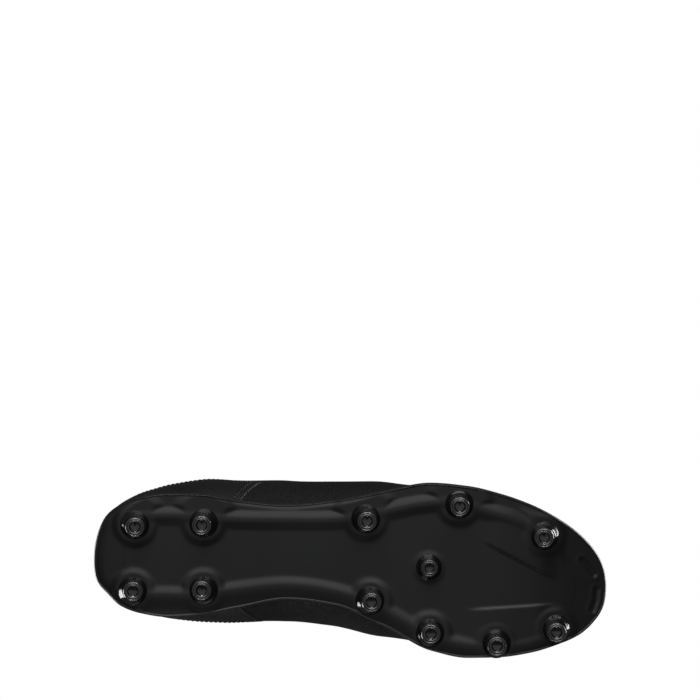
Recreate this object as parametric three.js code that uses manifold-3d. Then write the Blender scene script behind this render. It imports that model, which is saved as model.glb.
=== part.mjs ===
// Soccer cleat, right foot, size EU 42.5, in millimetres.
// +X points to the toe, +Y to the inner (medial) side, +Z up. The cleat stands on its studs at z = 0.
// Each sub-part is one closed solid in its own named mesh.
import * as THREE from 'three';
import { mergeVertices } from 'three/addons/utils/BufferGeometryUtils.js';
import Module from 'manifold-3d';

const wasm = await Module();
wasm.setup();

// ---------- driving dimensions ----------
const SHOE_LENGTH = 286.4;      // heel to toe of the sole plate
const TOE_X = 143.6;            // front end of the plate
const PLATE_THICKNESS = 3.5;
const LIP_HEIGHT = 4.5;         // the plate's edge cups the upper by this much
const LIP_THICKNESS = 1.2;
const LIP_GAP = 0.6;
const GAP = 0.3;                // clearance between neighbouring solids
const SEAM_GAP = 0.45;          // clearance between panels that lie edge to edge
const PANEL = 1.2;              // thickness of an outer panel
const STIFFENER = 1.0;          // heel counter and toe puff
const LINING = 0.8;
const COLLAR_FOAM = 4.6;        // thickest point of the collar padding
const BOARD = 1.7;              // insole board
const SOCK_FOAM = 3.0;
const SOCK_CLOTH = 0.7;
const HEX_FLATS = 5.2;          // recess in a stud's tip, across flats
const HEX_DEPTH = 2.4;
const BOSS_HEIGHT = 1.6;        // pad on the plate under each stud
const BOSS_MARGIN = 2.3;        // the pad is this much wider than the stud's base
const BOSS_ROOT = 3.4;          // the pad's body reaches this far up into the plate
const BOSS_EDGE = 0.4;          // the pads stay this far inside the plate's outline
const BEVEL_WIDTH = 2.4;        // the plate's lower edge is bevelled
const BEVEL_HEIGHT = 2.4;
const EYELET_ROWS = 6;
const EYELET_RADIUS = 2.1;
const LACE_WIDTH = 6.0;
const LACE_THICKNESS = 1.3;
const BOARD_CLEARANCE = 4.4;    // insole board to the inside of the wall
const SOCK_CLEARANCE = 5.0;     // lift-out sockliner to the inside of the wall

// Stations run from u = 0 at the back of the heel to u = 1 at the toe tip, on each side.
// Plate outline: [u, outer (lateral) y, inner (medial) y].
const OUTLINE = [
  [0, -4, -4], [0.05, -17.9, 6.6], [0.1, -29.6, 12.9], [0.15, -36.3, 20.5], [0.2, -40.7, 24.6],
  [0.25, -42.4, 26.5], [0.3, -42.2, 25.5], [0.36, -38.4, 21.3], [0.42, -36.1, 17.1], [0.48, -38.5, 20.2],
  [0.54, -43.7, 31.4], [0.6, -48.2, 44.9], [0.65, -46.4, 49.1], [0.7, -41.8, 48.6], [0.75, -35.6, 46.2],
  [0.8, -27.9, 41.9], [0.85, -19.5, 37.1], [0.9, -10.5, 29.8], [0.95, -0.9, 21.5], [1, 10, 10],
];
// Underside of the plate: [x, z]. The arch is raised and the toe springs up.
const UNDERSIDE = [
  [-142.8, 15], [-125, 12.6], [-100, 11.8], [-80, 12.2], [-60, 14], [-35, 16], [-12, 15.5], [10, 13],
  [35, 11.8], [60, 11.5], [80, 12], [100, 14], [115, 16.8], [128, 20], [143.6, 24.8],
];
// Top line of the upper: collar, then throat edge, then the ridge over the toes.
// [u, x, z, centre y, half width]
const TOP_LINE = [
  [0, -134, 92, -6, 0], [0.05, -131.5, 90, -6.5, 13], [0.1, -125, 84.5, -7, 21], [0.16, -113, 77, -8, 26],
  [0.22, -97, 73.5, -8, 28], [0.28, -80, 75, -8.5, 27.5], [0.33, -63, 83, -9, 24], [0.36, -51, 92, -9.5, 20],
  [0.42, -30, 86.5, -9, 16.5], [0.48, -8, 78.5, -7.5, 14.5], [0.54, 14, 70.5, -5.5, 12.5],
  [0.58, 30, 65.2, -3.5, 9], [0.6, 37, 63, -2.5, 0], [0.65, 57, 58.8, 0, 0], [0.7, 76, 55.2, 2.5, 0],
  [0.76, 95, 51.6, 5.5, 0], [0.83, 111, 48.4, 8, 0], [1, 111, 48.4, 8, 0],
];
// How far the wall of the upper bellies out past the plate: [u, outer low, outer high, inner low, inner high]
const BELLY = [
  [0, 1, -1, 1, -1], [0.1, 3.5, 2, 4, 2.5], [0.2, 6, 5, 6, 6], [0.3, 14.8, 14.4, 14.5, 15.1],
  [0.36, 20.7, 21.8, 24.6, 27.7], [0.42, 24.6, 28.7, 31.4, 37.4], [0.48, 22.7, 28.3, 32.5, 39],
  [0.54, 17.9, 22.3, 27.5, 34.2],
  [0.6, 6.5, 6, 10, 11], [0.65, 3, 2, 4, 3.5], [0.7, 1, 0, 1, 0], [1, 1.5, 0, 1.5, 0],
];
// Shape of the wall's curve: [u, height of low handle, height of high handle, reach of high handle]
const WALL = [
  [0, 0.34, 0.72, 1], [0.22, 0.34, 0.74, 1], [0.36, 0.33, 0.78, 0.92], [0.48, 0.33, 0.85, 0.78],
  [0.6, 0.42, 1, 0.66], [0.8, 0.54, 1, 0.74], [1, 0.6, 1, 0.8],
];
const RIDGE_SLOPE = -0.24;      // fall of the ridge towards the toe
const RIDGE_START = 0.6;        // from this station on, the two sides meet on a ridge
const RIDGE_POLE = 0.83;        // the ridge ends at this station

// Where the panels end, on the grid lines below: stations u and height shares t.
const SEAM_U = 0.58;            // vamp to quarters
const OVERLAY_U = 0.36;
const OVERLAY_T = 0.44;
const BACKSTAY_U = 0.05;
const FACING_T = 0.79;
const COUNTER_U = 0.28;
const COUNTER_T = 0.56;
const STIFFENER_FOOT_T = 0.1;
const PUFF_U = 0.8;
const COLLAR_U = 0.33;

// Grid lines of the upper. Panel edges lie on them.
const U_LINES = [0, 0.025, 0.05, 0.075, 0.1, 0.13, 0.16, 0.19, 0.22, 0.25, 0.28, 0.305, 0.33, 0.36, 0.39,
  0.42, 0.45, 0.48, 0.51, 0.54, 0.56, 0.58, 0.6, 0.64, 0.68, 0.72, 0.76, 0.8, 0.83, 0.86, 0.89, 0.92,
  0.95, 0.975, 1];
const T_LINES = [0, 0.1, 0.2, 0.32, 0.44, 0.56, 0.68, 0.79, 0.9, 1];

// Studs: [name, x, y of the tip, base radius, tip radius, lean of the base in x, in y]
const STUDS = [
  ['stud_heel_outer_rear', -118.5, -24.3, 6.9, 5.4, -0.7, -0.7],
  ['stud_heel_outer_front', -81.8, -25.2, 6.9, 5.4, 0.5, -0.8],
  ['stud_heel_inner_rear', -119.6, 11.1, 6.9, 5.4, -0.7, 0.7],
  ['stud_heel_inner_front', -81.8, 10.6, 6.9, 5.4, 0.5, 0.9],
  ['stud_outer_rear', 9.5, -27.4, 6.9, 5.4, -0.5, -0.9],
  ['stud_outer_middle', 60.6, -35.5, 6.9, 5.4, 0, -1],
  ['stud_outer_front', 107.3, -18.1, 6.9, 5.4, 0.4, -0.6],
  ['stud_forefoot_centre', 43.9, -1.4, 5.9, 4.7, 0, 0],
  ['stud_inner_rear', 12.0, 17.2, 6.9, 5.4, -0.7, 0],
  ['stud_inner_ball_rear', 44.7, 34.6, 6.9, 5.4, -0.3, 0.5],
  ['stud_inner_ball_front', 81.1, 41.4, 6.6, 5.4, 0, -0.6],
  ['stud_inner_front', 114.3, 34.4, 6.6, 5.4, -0.2, -1.2],
];
const STUD_LENGTH = 11.5;
const SPRING_START_X = 90;      // in front of this the plate springs up, and the studs rise with it
const CENTRE_STUD_TIP_Z = 3.2;  // the small centre stud stops short of the ground

// ---------- smooth curves through the tables ----------
function smooth(rows, column) {
  const xs = rows.map((row) => row[0]);
  const ys = rows.map((row) => row[column]);
  const slopes = xs.slice(1).map((x, i) => (ys[i + 1] - ys[i]) / (x - xs[i]));
  const tangents = xs.map((x, i) => {
    if (i === 0) return slopes[0];
    if (i === xs.length - 1) return slopes[i - 1];
    const product = slopes[i - 1] * slopes[i];
    return product <= 0 ? 0 : (2 * product) / (slopes[i - 1] + slopes[i]);
  });
  return (x) => {
    let i = xs.findIndex((value) => value > x) - 1;
    if (x >= xs[xs.length - 1]) i = xs.length - 2;
    if (x <= xs[0]) i = 0;
    const h = xs[i + 1] - xs[i];
    const s = Math.min(Math.max((x - xs[i]) / h, 0), 1);
    const a = (1 + 2 * s) * (1 - s) ** 2;
    const b = s * (1 - s) ** 2;
    const c = s * s * (3 - 2 * s);
    const d = s * s * (s - 1);
    return a * ys[i] + b * h * tangents[i] + c * ys[i + 1] + d * h * tangents[i + 1];
  };
}
const outlineOuter = smooth(OUTLINE, 1);
const outlineInner = smooth(OUTLINE, 2);
const undersideZ = smooth(UNDERSIDE, 1);
const topX = smooth(TOP_LINE, 1);
const topZ = smooth(TOP_LINE, 2);
const topCentre = smooth(TOP_LINE, 3);
const topHalf = smooth(TOP_LINE, 4);
const belly = [1, 2, 3, 4].map((column) => smooth(BELLY, column));
const lowHandle = smooth(WALL, 1);
const highHandle = smooth(WALL, 2);
const handleReach = smooth(WALL, 3);
const OUTER = -1;
const INNER = 1;

// A point of the plate's outline, moved in by inset along the outline's normal.
function outline(side, u, inset = 0) {
  const y = side === OUTER ? outlineOuter : outlineInner;
  const at = (v) => {
    const mirrored = v < 0 || v > 1;
    const w = v < 0 ? -v : v > 1 ? 2 - v : v;
    const curve = mirrored ? (side === OUTER ? outlineInner : outlineOuter) : y;
    return [TOE_X - (SHOE_LENGTH / 2) * (1 + Math.cos(Math.PI * w)), curve(w)];
  };
  const step = 0.012;
  const before = at(u - step);
  const after = at(u + step);
  const dx = after[0] - before[0];
  const dy = after[1] - before[1];
  const length = Math.hypot(dx, dy);
  const out = [(-dy * side) / length, (dx * side) / length];
  const here = at(u);
  return { x: here[0] - out[0] * inset, y: here[1] - out[1] * inset, out };
}
const plateTop = (x) => undersideZ(x) + PLATE_THICKNESS;

// ---------- the upper's outer surface ----------
// The upper stands inside the plate's edge, further in where its wall leans out more.
const lowBelly = (side, u) => belly[side === OUTER ? 0 : 2](u);
const footInset = (side, u) => 2.0 + 0.18 * lowBelly(side, u);
function upperPoint(side, u, t) {
  const low = lowBelly(side, u);
  const high = belly[side === OUTER ? 1 : 3](u);
  const foot = outline(side, u, footInset(side, u));
  const footZ = plateTop(foot.x) + GAP;
  const top = [topX(u), topCentre(u) + side * topHalf(u), topZ(u)];
  const rise = top[2] - footZ;
  const reach = handleReach(u);
  const lowPoint = [foot.x + foot.out[0] * low, foot.y + foot.out[1] * low, footZ + lowHandle(u) * rise];
  const wide = [foot.x + foot.out[0] * high, foot.y + foot.out[1] * high];
  const highPoint = [top[0] + reach * (wide[0] - top[0]), top[1] + reach * (wide[1] - top[1]), 0];
  const onRidge = THREE.MathUtils.smoothstep(u, 0.5, 0.6);
  const ridgeZ = top[2] + RIDGE_SLOPE * (highPoint[0] - top[0]);
  const wallZ = footZ + highHandle(u) * rise;
  highPoint[2] = wallZ + onRidge * (ridgeZ - wallZ);
  const b = [(1 - t) ** 3, 3 * t * (1 - t) ** 2, 3 * t * t * (1 - t), t ** 3];
  const footPoint = [foot.x, foot.y, footZ];
  return new THREE.Vector3(...[0, 1, 2].map((k) => (
    b[0] * footPoint[k] + b[1] * lowPoint[k] + b[2] * highPoint[k] + b[3] * top[k])));
}
function sideNormal(side, u, t) {
  const step = 0.004;
  const flip = (v) => (v < 0 || v > 1 ? -side : side);
  const fold = (v) => (v < 0 ? -v : v > 1 ? 2 - v : v);
  const t0 = Math.min(Math.max(t, 0.004), 0.985);
  const along = upperPoint(flip(u + step), fold(u + step), t0)
    .sub(upperPoint(flip(u - step), fold(u - step), t0));
  const up = upperPoint(side, u, Math.min(t0 + step, 1)).sub(upperPoint(side, u, Math.max(t0 - step, 0)));
  return up.cross(along).multiplyScalar(side).normalize();
}
function upperNormal(side, u, t) {
  const normal = sideNormal(side, u, t);
  if (t < 1 || u < RIDGE_START) return normal;
  const tip = Math.min(u, RIDGE_POLE);
  return sideNormal(OUTER, tip, t).add(sideNormal(INNER, tip, t)).normalize();
}
const offsetPoint = (side, u, t, depth) => (
  upperPoint(side, u, t).addScaledVector(upperNormal(side, u, t), -depth));

// ---------- closed bodies ----------
function geometryOf(points, triangles) {
  const geometry = new THREE.BufferGeometry();
  const flat = points.flatMap((p) => [p.x, p.y, p.z]);
  geometry.setAttribute('position', new THREE.Float32BufferAttribute(flat, 3));
  geometry.setIndex(triangles);
  const merged = mergeVertices(geometry, 1e-3);
  const index = Array.from(merged.index.array);
  const kept = [];
  for (let i = 0; i < index.length; i += 3) {
    const [a, b, c] = index.slice(i, i + 3);
    if (a !== b && b !== c && c !== a) kept.push(a, b, c);
  }
  merged.setIndex(kept);
  return merged;
}
function volumeOf(geometry) {
  const p = geometry.getAttribute('position');
  const index = geometry.index.array;
  const [a, b, c] = [new THREE.Vector3(), new THREE.Vector3(), new THREE.Vector3()];
  let volume = 0;
  for (let i = 0; i < index.length; i += 3) {
    a.fromBufferAttribute(p, index[i]);
    b.fromBufferAttribute(p, index[i + 1]);
    c.fromBufferAttribute(p, index[i + 2]);
    volume += a.dot(b.cross(c)) / 6;
  }
  return volume;
}
function facingOut(geometry) {
  if (volumeOf(geometry) < 0) {
    const index = geometry.index.array;
    for (let i = 0; i < index.length; i += 3) [index[i], index[i + 1]] = [index[i + 1], index[i]];
  }
  return geometry;
}
function toSolid(geometry) {
  const plain = new THREE.BufferGeometry();
  plain.setAttribute('position', geometry.getAttribute('position'));
  if (geometry.index) plain.setIndex(geometry.index);
  const merged = facingOut(mergeVertices(plain, 1e-4));
  return new wasm.Manifold(new wasm.Mesh({
    numProp: 3,
    vertProperties: new Float32Array(merged.getAttribute('position').array),
    triVerts: new Uint32Array(merged.index.array),
  }));
}
function fromSolid(solid) {
  const mesh = solid.getMesh();
  const geometry = new THREE.BufferGeometry();
  geometry.setAttribute('position', new THREE.BufferAttribute(new Float32Array(mesh.vertProperties), 3));
  geometry.setIndex(Array.from(mesh.triVerts));
  return geometry;
}

// Which grid cells each panel takes.
const isOverlay = (u, t) => u < OVERLAY_U && t < OVERLAY_T;
const isBackstay = (u, t) => u < BACKSTAY_U && t > OVERLAY_T;
const isFacing = (u, t) => u > OVERLAY_U && u < SEAM_U && t > FACING_T;
const isQuarter = (u, t) => u < SEAM_U && !isOverlay(u, t) && !isBackstay(u, t) && !isFacing(u, t);
const isVamp = (u) => u > SEAM_U;

// A panel of the upper: the grid cells that belong(side, u, t) picks, between two depths.
// Its free edges are drawn back by half a seam gap.
function panel(belongs, outerDepth, innerDepth, sides = [OUTER, INNER]) {
  const points = [];
  const triangles = [];
  const cells = new Set();
  const middle = (lines, i) => (lines[i] + lines[i + 1]) / 2;
  for (const side of sides) {
    for (let i = 0; i + 1 < U_LINES.length; i++) {
      for (let j = 0; j + 1 < T_LINES.length; j++) {
        if (belongs(side, middle(U_LINES, i), middle(T_LINES, j))) cells.add(`${side},${i},${j}`);
      }
    }
  }
  const has = (side, i, j) => {
    if (i < 0) return cells.has(`${-side},${-1 - i},${j}`);
    if (i > U_LINES.length - 2) return cells.has(`${-side},${2 * U_LINES.length - 3 - i},${j}`);
    const overRidge = j > T_LINES.length - 2 && U_LINES[i] >= RIDGE_START;
    if (overRidge) return cells.has(`${-side},${i},${T_LINES.length - 2}`);
    return cells.has(`${side},${i},${j}`);
  };
  const corner = new Map();
  const cornerAt = (side, i, j) => {
    const key = `${side},${i},${j}`;
    if (!corner.has(key)) {
      const around = [[0, 0], [-1, 0], [0, -1], [-1, -1]].filter(([di, dj]) => has(side, i + di, j + dj));
      const pullU = around.reduce((sum, [di]) => sum + (di === 0 ? 1 : -1), 0);
      const pullT = around.reduce((sum, [, dj]) => sum + (dj === 0 ? 1 : -1), 0);
      const onRidge = j === T_LINES.length - 1 && U_LINES[i] >= RIDGE_START;
      const free = around.length < 4 && !onRidge;
      const u = U_LINES[i];
      const t = T_LINES[j];
      const speedU = upperPoint(side, Math.min(u + 0.01, 1), Math.min(t, 0.9))
        .distanceTo(upperPoint(side, Math.max(u - 0.01, 0), Math.min(t, 0.9))) / 0.02;
      const speedT = upperPoint(side, u, 1).distanceTo(upperPoint(side, u, 0));
      const atTop = j === T_LINES.length - 1 || j === 0;
      const shiftU = free ? (Math.sign(pullU) * SEAM_GAP) / 2 / speedU : 0;
      const shiftT = free && !atTop ? (Math.sign(pullT) * SEAM_GAP) / 2 / speedT : 0;
      const uu = Math.min(Math.max(u + shiftU, 0), 1);
      const base = points.length;
      points.push(offsetPoint(side, uu, t + shiftT, outerDepth(side, u, t)));
      points.push(offsetPoint(side, uu, t + shiftT, innerDepth(side, u, t)));
      corner.set(key, base);
    }
    return corner.get(key);
  };
  const quad = (a, b, c, d) => triangles.push(a, b, c, a, c, d);
  for (const key of cells) {
    const [side, i, j] = key.split(',').map(Number);
    const ring = [[i, j], [i + 1, j], [i + 1, j + 1], [i, j + 1]].map(([a, b]) => cornerAt(side, a, b));
    if (side === INNER) ring.reverse();
    quad(...ring);
    triangles.push(ring[2] + 1, ring[1] + 1, ring[0] + 1, ring[3] + 1, ring[2] + 1, ring[0] + 1);
    const sides4 = side === INNER ? [[0, 1], [1, 0], [0, -1], [-1, 0]] : [[0, -1], [1, 0], [0, 1], [-1, 0]];
    sides4.forEach(([di, dj], k) => {
      if (has(side, i + di, j + dj)) return;
      const a = ring[k];
      const b = ring[(k + 1) % 4];
      quad(b, a, a + 1, b + 1);
    });
  }
  return facingOut(geometryOf(points, triangles));
}

// A flat layer that lies inside the upper, clear of its wall, between two heights that follow x.
function layer(clearance, bottomZ, topZAt) {
  const points = [];
  const triangles = [];
  const across = 4;
  const rows = U_LINES;
  rows.forEach((u) => {
    const a = outline(OUTER, u, footInset(OUTER, u) + clearance);
    const b = outline(INNER, u, footInset(INNER, u) + clearance);
    for (let j = 0; j <= across; j++) {
      const x = a.x + ((b.x - a.x) * j) / across;
      const y = a.y + ((b.y - a.y) * j) / across;
      points.push(new THREE.Vector3(x, y, bottomZ(x, y)), new THREE.Vector3(x, y, topZAt(x, y)));
    }
  });
  const id = (i, j, k) => (i * (across + 1) + j) * 2 + k;
  const quad = (a, b, c, d) => triangles.push(a, b, c, a, c, d);
  for (let i = 0; i + 1 < rows.length; i++) {
    for (let j = 0; j < across; j++) {
      quad(id(i, j, 0), id(i, j + 1, 0), id(i + 1, j + 1, 0), id(i + 1, j, 0));
      quad(id(i, j, 1), id(i + 1, j, 1), id(i + 1, j + 1, 1), id(i, j + 1, 1));
    }
    quad(id(i, 0, 0), id(i + 1, 0, 0), id(i + 1, 0, 1), id(i, 0, 1));
    quad(id(i, across, 0), id(i, across, 1), id(i + 1, across, 1), id(i + 1, across, 0));
  }
  for (let j = 0; j < across; j++) {
    quad(id(0, j, 0), id(0, j, 1), id(0, j + 1, 1), id(0, j + 1, 0));
    const last = rows.length - 1;
    quad(id(last, j, 0), id(last, j + 1, 0), id(last, j + 1, 1), id(last, j, 1));
  }
  return facingOut(geometryOf(points, triangles));
}

// ---------- sole plate ----------
const tOfLip = (side, u) => {
  const rise = upperPoint(side, u, 0.1).z - upperPoint(side, u, 0).z;
  return (0.1 * LIP_HEIGHT) / rise;
};
const tipZ = (x, name) => {
  if (name === 'stud_forefoot_centre') return CENTRE_STUD_TIP_Z;
  return x > SPRING_START_X ? undersideZ(x) - STUD_LENGTH : 0;
};
const bossZ = (x) => Math.min(undersideZ(x - 8), undersideZ(x + 8), undersideZ(x)) - BOSS_HEIGHT;

function solePlate() {
  const points = [];
  const triangles = [];
  const across = 6;
  const rows = U_LINES.map((u) => {
    const edge = (side) => {
      const t = tOfLip(side, u);
      const bottom = outline(side, u, BEVEL_WIDTH);
      const wide = outline(side, u, 0.25);
      const lipTop = upperPoint(side, u, t);
      const normal = upperNormal(side, u, t);
      const foot = upperPoint(side, u, 0);
      const footNormal = upperNormal(side, u, 0);
      return [
        new THREE.Vector3(bottom.x, bottom.y, undersideZ(bottom.x) + 0.4),
        new THREE.Vector3(wide.x, wide.y, undersideZ(wide.x) + BEVEL_HEIGHT),
        lipTop.clone().addScaledVector(normal, LIP_GAP + LIP_THICKNESS),
        lipTop.clone().addScaledVector(normal, LIP_GAP),
        foot.clone().addScaledVector(footNormal, LIP_GAP).setZ(foot.z - GAP),
      ];
    };
    const outer = edge(OUTER);
    const inner = edge(INNER);
    const ring = [...outer];
    const a = outer[4];
    const b = inner[4];
    for (let j = 1; j < across; j++) {
      const x = a.x + ((b.x - a.x) * j) / across;
      ring.push(new THREE.Vector3(x, a.y + ((b.y - a.y) * j) / across, plateTop(x)));
    }
    ring.push(...inner.reverse());
    const c = inner[4];
    const d = outer[0];
    for (let j = 1; j < across; j++) {
      const x = c.x + ((d.x - c.x) * j) / across;
      ring.push(new THREE.Vector3(x, c.y + ((d.y - c.y) * j) / across, undersideZ(x)));
    }
    return ring;
  });
  const count = rows[0].length;
  rows.forEach((ring) => points.push(...ring));
  for (let i = 0; i + 1 < rows.length; i++) {
    for (let k = 0; k < count; k++) {
      const next = (k + 1) % count;
      const [a, b, c, d] = [i * count + k, i * count + next, (i + 1) * count + next, (i + 1) * count + k];
      triangles.push(a, b, c, a, c, d);
    }
  }
  let plate = toSolid(facingOut(geometryOf(points, triangles)));
  const edge = new THREE.Shape();
  const corners = U_LINES.map((u) => outline(OUTER, u, BOSS_EDGE))
    .concat(U_LINES.slice(1, -1).reverse().map((u) => outline(INNER, u, BOSS_EDGE)));
  corners.forEach(({ x, y }, i) => (i === 0 ? edge.moveTo(x, y) : edge.lineTo(x, y)));
  const within = toSolid(new THREE.ExtrudeGeometry(edge, { depth: 40, bevelEnabled: false }));
  for (const [, x, y, baseRadius, , leanX, leanY] of STUDS) {
    const low = bossZ(x);
    const radius = baseRadius + BOSS_MARGIN;
    const boss = new THREE.LatheGeometry([
      new THREE.Vector2(0, low), new THREE.Vector2(radius - 1.4, low),
      new THREE.Vector2(radius, low + 1.2), new THREE.Vector2(radius + 0.8, low + BOSS_ROOT),
      new THREE.Vector2(0, low + BOSS_ROOT),
    ], 18);
    boss.rotateX(Math.PI / 2).translate(x + leanX, y + leanY, 0);
    plate = plate.add(toSolid(boss).intersect(within));
  }
  return fromSolid(plate);
}

// ---------- studs ----------
function stud([name, x, y, baseRadius, tipRadius, leanX, leanY]) {
  const top = bossZ(x) - GAP;
  const low = tipZ(x, name);
  const height = top - low;
  const profile = [
    [0, low], [tipRadius - 0.9, low], [tipRadius - 0.5, low + 0.3], [tipRadius, low + 1.1],
    [tipRadius + 0.35, low + height * 0.4], [baseRadius - 0.45, low + height * 0.8],
    [baseRadius, top], [0, top],
  ].map(([r, z]) => new THREE.Vector2(r, z));
  const cone = new THREE.LatheGeometry(profile, 18);
  cone.rotateX(Math.PI / 2);
  const p = cone.getAttribute('position');
  for (let i = 0; i < p.count; i++) {
    const share = (p.getZ(i) - low) / height;
    p.setXY(i, p.getX(i) + x + leanX * share, p.getY(i) + y + leanY * share);
  }
  const flats = (HEX_FLATS * tipRadius) / 5.4;
  const recess = new THREE.CylinderGeometry(flats / Math.sqrt(3), flats / Math.sqrt(3), HEX_DEPTH * 2, 6);
  recess.rotateX(Math.PI / 2).translate(x, y, low);
  return fromSolid(toSolid(cone).subtract(toSolid(recess)));
}

// ---------- tongue ----------
// Sections across the throat: under each edge the tongue runs below the lining.
const TONGUE_DEPTH = PANEL + GAP + LINING + 2.6;
const TONGUE_THICKNESS = 4.2;
const TONGUE_SKIRT = 0.6;       // thickness at the tongue's long edges
const TONGUE_CROWN = 2.2;       // the middle stands this much above the edges
const TONGUE_DROP = 3.0;        // the top end lies this much deeper, clear of the collar
const TONGUE_U = [0.575, 0.56, 0.54, 0.51, 0.48, 0.45, 0.42, 0.39, 0.365];
const TONGUE_TOP_ROWS = 4;      // rows that stand free above the top eyelets
const TONGUE_TOP_STEP = [-6.4, 0.2, 5.6];
const TONGUE_TOP_WIDTHS = [1.06, 1.14, 1.12, 0.92];
function tongueSections() {
  const sections = TONGUE_U.map((u) => {
    const nearTop = 1 - THREE.MathUtils.smoothstep(u, 0.38, 0.48);
    const tuck = 0.83 + 0.14 * nearTop;
    const depth = TONGUE_DEPTH + TONGUE_DROP * nearTop;
    const half = [OUTER, INNER].map((side) => (
      [offsetPoint(side, u, tuck, depth + 0.4), offsetPoint(side, u, 1, depth)]));
    const middle = half[0][1].clone().add(half[1][1]).multiplyScalar(0.5);
    middle.z += TONGUE_CROWN;
    return [half[0][0], half[0][1], middle, half[1][1], half[1][0]];
  });
  const last = sections[sections.length - 1];
  const centre = last[2];
  for (let k = 1; k <= TONGUE_TOP_ROWS; k++) {
    const narrow = TONGUE_TOP_WIDTHS[k - 1];
    sections.push(last.map((p) => new THREE.Vector3(
      p.x + TONGUE_TOP_STEP[0] * k, centre.y + (p.y - centre.y) * narrow + TONGUE_TOP_STEP[1] * k,
      centre.z + (p.z - centre.z) * narrow + TONGUE_TOP_STEP[2] * k)));
  }
  return sections.map((row) => new THREE.CatmullRomCurve3(row).getPoints(6));
}
function sheet(sections, upper, lower) {
  const rows = sections.length;
  const columns = sections[0].length;
  const points = [];
  const triangles = [];
  for (let i = 0; i < rows; i++) {
    for (let j = 0; j < columns; j++) {
      const along = sections[Math.min(i + 1, rows - 1)][j].clone().sub(sections[Math.max(i - 1, 0)][j]);
      const across = sections[i][Math.min(j + 1, columns - 1)].clone().sub(sections[i][Math.max(j - 1, 0)]);
      const normal = along.cross(across).normalize();
      if (normal.z < 0) normal.negate();
      points.push(sections[i][j].clone().addScaledVector(normal, -upper(i, j)));
      points.push(sections[i][j].clone().addScaledVector(normal, -lower(i, j)));
    }
  }
  const id = (i, j, k) => (i * columns + j) * 2 + k;
  const quad = (a, b, c, d) => triangles.push(a, b, c, a, c, d);
  for (let i = 0; i + 1 < rows; i++) {
    for (let j = 0; j + 1 < columns; j++) {
      quad(id(i, j, 0), id(i + 1, j, 0), id(i + 1, j + 1, 0), id(i, j + 1, 0));
      quad(id(i, j, 1), id(i, j + 1, 1), id(i + 1, j + 1, 1), id(i + 1, j, 1));
    }
    quad(id(i, 0, 0), id(i, 0, 1), id(i + 1, 0, 1), id(i + 1, 0, 0));
    quad(id(i, columns - 1, 0), id(i + 1, columns - 1, 0), id(i + 1, columns - 1, 1), id(i, columns - 1, 1));
  }
  for (let j = 0; j + 1 < columns; j++) {
    quad(id(0, j, 0), id(0, j + 1, 0), id(0, j + 1, 1), id(0, j, 1));
    quad(id(rows - 1, j, 0), id(rows - 1, j, 1), id(rows - 1, j + 1, 1), id(rows - 1, j + 1, 0));
  }
  return facingOut(geometryOf(points, triangles));
}

// ---------- lace ----------
const EYELET_FIRST_U = 0.385;
const EYELET_LAST_U = 0.565;
const EYELET_T = 0.9;
const eyeletU = (row) => EYELET_FIRST_U + (row * (EYELET_LAST_U - EYELET_FIRST_U)) / (EYELET_ROWS - 1);
const eyelet = (side, row, lift) => offsetPoint(side, eyeletU(row), EYELET_T, -lift);
// A flat band through points, with its face turned to the given up directions.
function band(points, ups, width, thickness) {
  const curve = new THREE.CatmullRomCurve3(points);
  const steps = 6;
  const out = [];
  const triangles = [];
  for (let i = 0; i <= steps; i++) {
    const s = i / steps;
    const centre = curve.getPoint(s);
    const tangent = curve.getTangent(s);
    const up = ups[0].clone().lerp(ups[1], s);
    const across = tangent.clone().cross(up).normalize().multiplyScalar(width / 2);
    const rise = across.clone().cross(tangent).normalize().multiplyScalar(thickness / 2);
    out.push(centre.clone().add(across).add(rise), centre.clone().sub(across).add(rise));
    out.push(centre.clone().sub(across).sub(rise), centre.clone().add(across).sub(rise));
  }
  for (let i = 0; i < steps; i++) {
    for (let k = 0; k < 4; k++) {
      const [a, b] = [i * 4 + k, i * 4 + ((k + 1) % 4)];
      triangles.push(a, b, b + 4, a, b + 4, a + 4);
    }
  }
  triangles.push(0, 2, 1, 0, 3, 2);
  const e = steps * 4;
  triangles.push(e, e + 1, e + 2, e, e + 2, e + 3);
  return facingOut(geometryOf(out, triangles));
}
const LACE_LIFT = 0.35 + LACE_THICKNESS / 2;
const LACE_CROWN = 3.2;         // the lace arches over the tongue by this much
const PEG_RADIUS = 1.5;         // the lace narrows where it goes down through an eyelet
const PEG_LENGTH = 2.2;
function laceBar(fromSide, fromRow, toSide, toRow, extra) {
  const a = eyelet(fromSide, fromRow, LACE_LIFT + extra);
  const b = eyelet(toSide, toRow, LACE_LIFT + extra);
  const upA = upperNormal(fromSide, eyeletU(fromRow), EYELET_T);
  const upB = upperNormal(toSide, eyeletU(toRow), EYELET_T);
  const nearA = offsetPoint(fromSide, eyeletU(fromRow) - 0.004, 0.985, -LACE_LIFT - extra - 0.8);
  const nearB = offsetPoint(toSide, eyeletU(toRow) + 0.004, 0.985, -LACE_LIFT - extra - 0.8);
  const middle = nearA.clone().add(nearB).multiplyScalar(0.5);
  middle.z += LACE_CROWN;
  return band([a, nearA, middle, nearB, b], [upA, upB], LACE_WIDTH, LACE_THICKNESS);
}
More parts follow.
